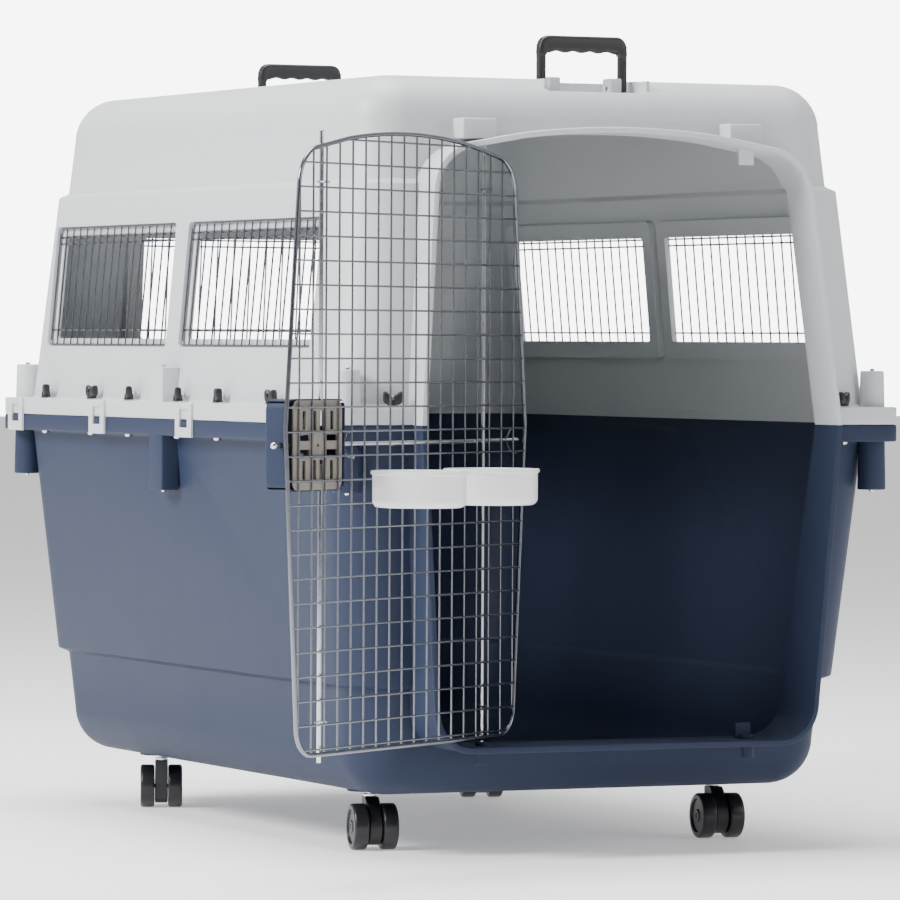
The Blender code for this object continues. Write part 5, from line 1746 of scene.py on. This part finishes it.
# ------------------------------------------------------------------ handles
class Handles:
    """The folding handles on the roof."""

    def __init__(self, shop: Workshop) -> None:
        """Builds both handles.

        Args:
            shop: Where pieces are made.
        """
        for name, y in handle_places().items():
            place = Matrix.Translation((0.0, y, SHELL.roof - HANDLE.pivot_drop))
            made = shop.raw(name, self.grip())
            shop.combine(made, self.legs(), "UNION")
            black = shop.finishes.black
            shop.piece(f"{name}_moulding", made, black, Slot.BLACK, name, [name], place)

    def grip(self) -> bmesh.types.BMesh:
        """The grip, with finger waves along its underside."""
        half, thick = HANDLE.width / 2, HANDLE.depth / 2
        top, bottom = HANDLE.rise, HANDLE.rise - HANDLE.grip
        steps = 48
        rings = []
        for i in range(steps + 1):
            x = -half + 2 * half * i / steps
            end = min((half - abs(x)) / 0.004, 1.0)
            shrink = 1.0 - 0.30 * (1.0 - math.sqrt(max(1.0 - (1.0 - end) ** 2, 0.0)))
            wave = 0.0022 * (0.5 + 0.5 * math.cos(math.tau * x / 0.024)) if abs(x) < 0.048 else 0.0
            low = bottom + 0.0022 - wave - self.bend(x, half - HANDLE.leg, 0.009)
            crown = top - self.bend(x, half, 0.0145)
            middle, reach = (crown + low) / 2, (crown - low) / 2
            corner = min(0.0048, thick * shrink * 0.8)
            ring = rounded_rectangle(thick * shrink, reach * shrink, corner, 0.0, 5)
            rings.append([Vector((x, p.x, middle + p.y)) for p in ring])
        return loft(rings)

    def bend(self, x: float, end: float, radius: float) -> float:
        """How far a round corner that ends at a distance from the middle drops at X."""
        into = min(max(abs(x) - (end - radius), 0.0), radius)
        return radius - math.sqrt(radius**2 - into**2)

    def legs(self) -> bmesh.types.BMesh:
        """The two legs with the pins at their feet."""
        shape = bmesh.new()
        half = HANDLE.width / 2
        for side in (-1, 1):
            low_x, high_x = sorted((side * (half - 0.0002), side * (half - HANDLE.leg)))
            low = (low_x, -0.0055, -HANDLE.leg / 2)
            box(low, (high_x, 0.0055, HANDLE.rise - HANDLE.grip / 2), 0.0016, shape)
        for side in (-1, 1):
            inner, tip = side * (half - HANDLE.leg + 0.0015), side * (half - HANDLE.leg - HANDLE.ear_width)
            rod((inner, 0, 0), (tip, 0, 0), HANDLE.pin, 20, shape)
        return shape


# ------------------------------------------------------------------ studio
class Studio:
    """A pale floor, soft light and the camera."""

    EYE = (-3.383, -7.282, 0.5775)
    YAW = math.radians(25.1)
    PITCH = math.radians(1.05)
    ROLL = math.radians(0.31)
    LENS_MM = 235.3
    SENSOR_MM = 36.0

    def __init__(self, shop: Workshop) -> None:
        """Sets the studio up.

        Args:
            shop: Where the floor's finish is made.
        """
        self.shop = shop
        self.floor()
        self.light("key", (-5.0, -0.6, 3.5), 2.4, 500.0)
        self.light("fill", (3.6, -4.8, 2.6), 2.4, 95.0)
        self.light("top", (-0.3, 0.2, 4.6), 3.2, 330.0)
        self.world()
        self.camera()

    def floor(self) -> None:
        """A wide sheet of pale paper under the wheels."""
        shape = bmesh.new()
        place = Matrix.Translation((0, 0, -CASTER.height))
        bmesh.ops.create_grid(shape, x_segments=1, y_segments=1, size=40.0, matrix=place)
        sheet = self.shop.raw("studio_floor", shape)
        sheet.data.materials.append(self.shop.finishes.of(self.shop.finishes.paper))

    def light(self, name: str, spot: tuple[float, float, float], size: float, power: float) -> None:
        """Hangs one soft light, aimed at the crate's middle."""
        lamp = bpy.data.lights.new(name, "AREA")
        lamp.shape = "DISK"
        lamp.size = size
        lamp.energy = power
        made = bpy.data.objects.new(name, lamp)
        bpy.context.scene.collection.objects.link(made)
        made.location = spot
        way = Vector((0.0, 0.0, 0.45)) - Vector(spot)
        made.rotation_mode = "QUATERNION"
        made.rotation_quaternion = way.to_track_quat("-Z", "Y")

    def world(self) -> None:
        """White air behind and above the crate, and a darker room in front of it."""
        world = bpy.data.worlds.new("studio_air")
        world.use_nodes = True
        tree = world.node_tree
        sky = tree.nodes["Background"]
        place = add_node(tree, "ShaderNodeTexCoord")
        facing = add_node(tree, "ShaderNodeVectorMath")
        facing.operation = "DOT_PRODUCT"
        facing.inputs[1].default_value = (math.sin(self.YAW), math.cos(self.YAW), 0.0)
        tree.links.new(place.outputs["Generated"], facing.inputs[0])
        total = add_node(tree, "ShaderNodeMath")
        room = {"From Min": -0.75, "From Max": 0.3, "To Min": 0.10, "To Max": 0.66}
        backdrop = {"From Min": 0.972, "From Max": 0.99, "To Min": 0.0, "To Max": 7.0}
        for i, levels in enumerate((room, backdrop)):
            ramp = add_node(tree, "ShaderNodeMapRange", **levels)
            tree.links.new(facing.outputs["Value"], ramp.inputs["Value"])
            tree.links.new(ramp.outputs["Result"], total.inputs[i])
        sky.inputs["Color"].default_value = to_linear("#FBFCFF")
        tree.links.new(total.outputs["Value"], sky.inputs["Strength"])
        bpy.context.scene.world = world

    def camera(self) -> None:
        """A long lens, almost level, from the front left."""
        lens = bpy.data.cameras.new("studio_camera")
        lens.lens = self.LENS_MM
        lens.sensor_width = self.SENSOR_MM
        lens.clip_end = 100.0
        made = bpy.data.objects.new("studio_camera", lens)
        bpy.context.scene.collection.objects.link(made)
        ahead = Vector((math.sin(self.YAW), math.cos(self.YAW), 0.0))
        right = Vector((math.cos(self.YAW), -math.sin(self.YAW), 0.0))
        upward = Vector((0.0, 0.0, 1.0))
        look = ahead * math.cos(self.PITCH) - upward * math.sin(self.PITCH)
        crown = ahead * math.sin(self.PITCH) + upward * math.cos(self.PITCH)
        side = right * math.cos(self.ROLL) + crown * math.sin(self.ROLL)
        head = crown * math.cos(self.ROLL) - right * math.sin(self.ROLL)
        turn = Matrix((side, head, -look)).transposed().to_4x4()
        made.matrix_world = Matrix.Translation(self.EYE) @ turn
        bpy.context.scene.camera = made


def main() -> None:
    """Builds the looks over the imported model."""
    logging.basicConfig(level=logging.INFO, format="%(name)s: %(message)s")
    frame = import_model()
    LOG.info("frame holds %d nodes", len(frame["nodes"]))
    shop = Workshop()
    for maker in (LowerShell, UpperShell, Grilles, Fasteners, Casters, Door, Latch, Bowls, Handles):
        maker(shop)
        LOG.info("made %s", maker.__name__)
    Studio(shop)


if __name__ == "__main__":
    main()
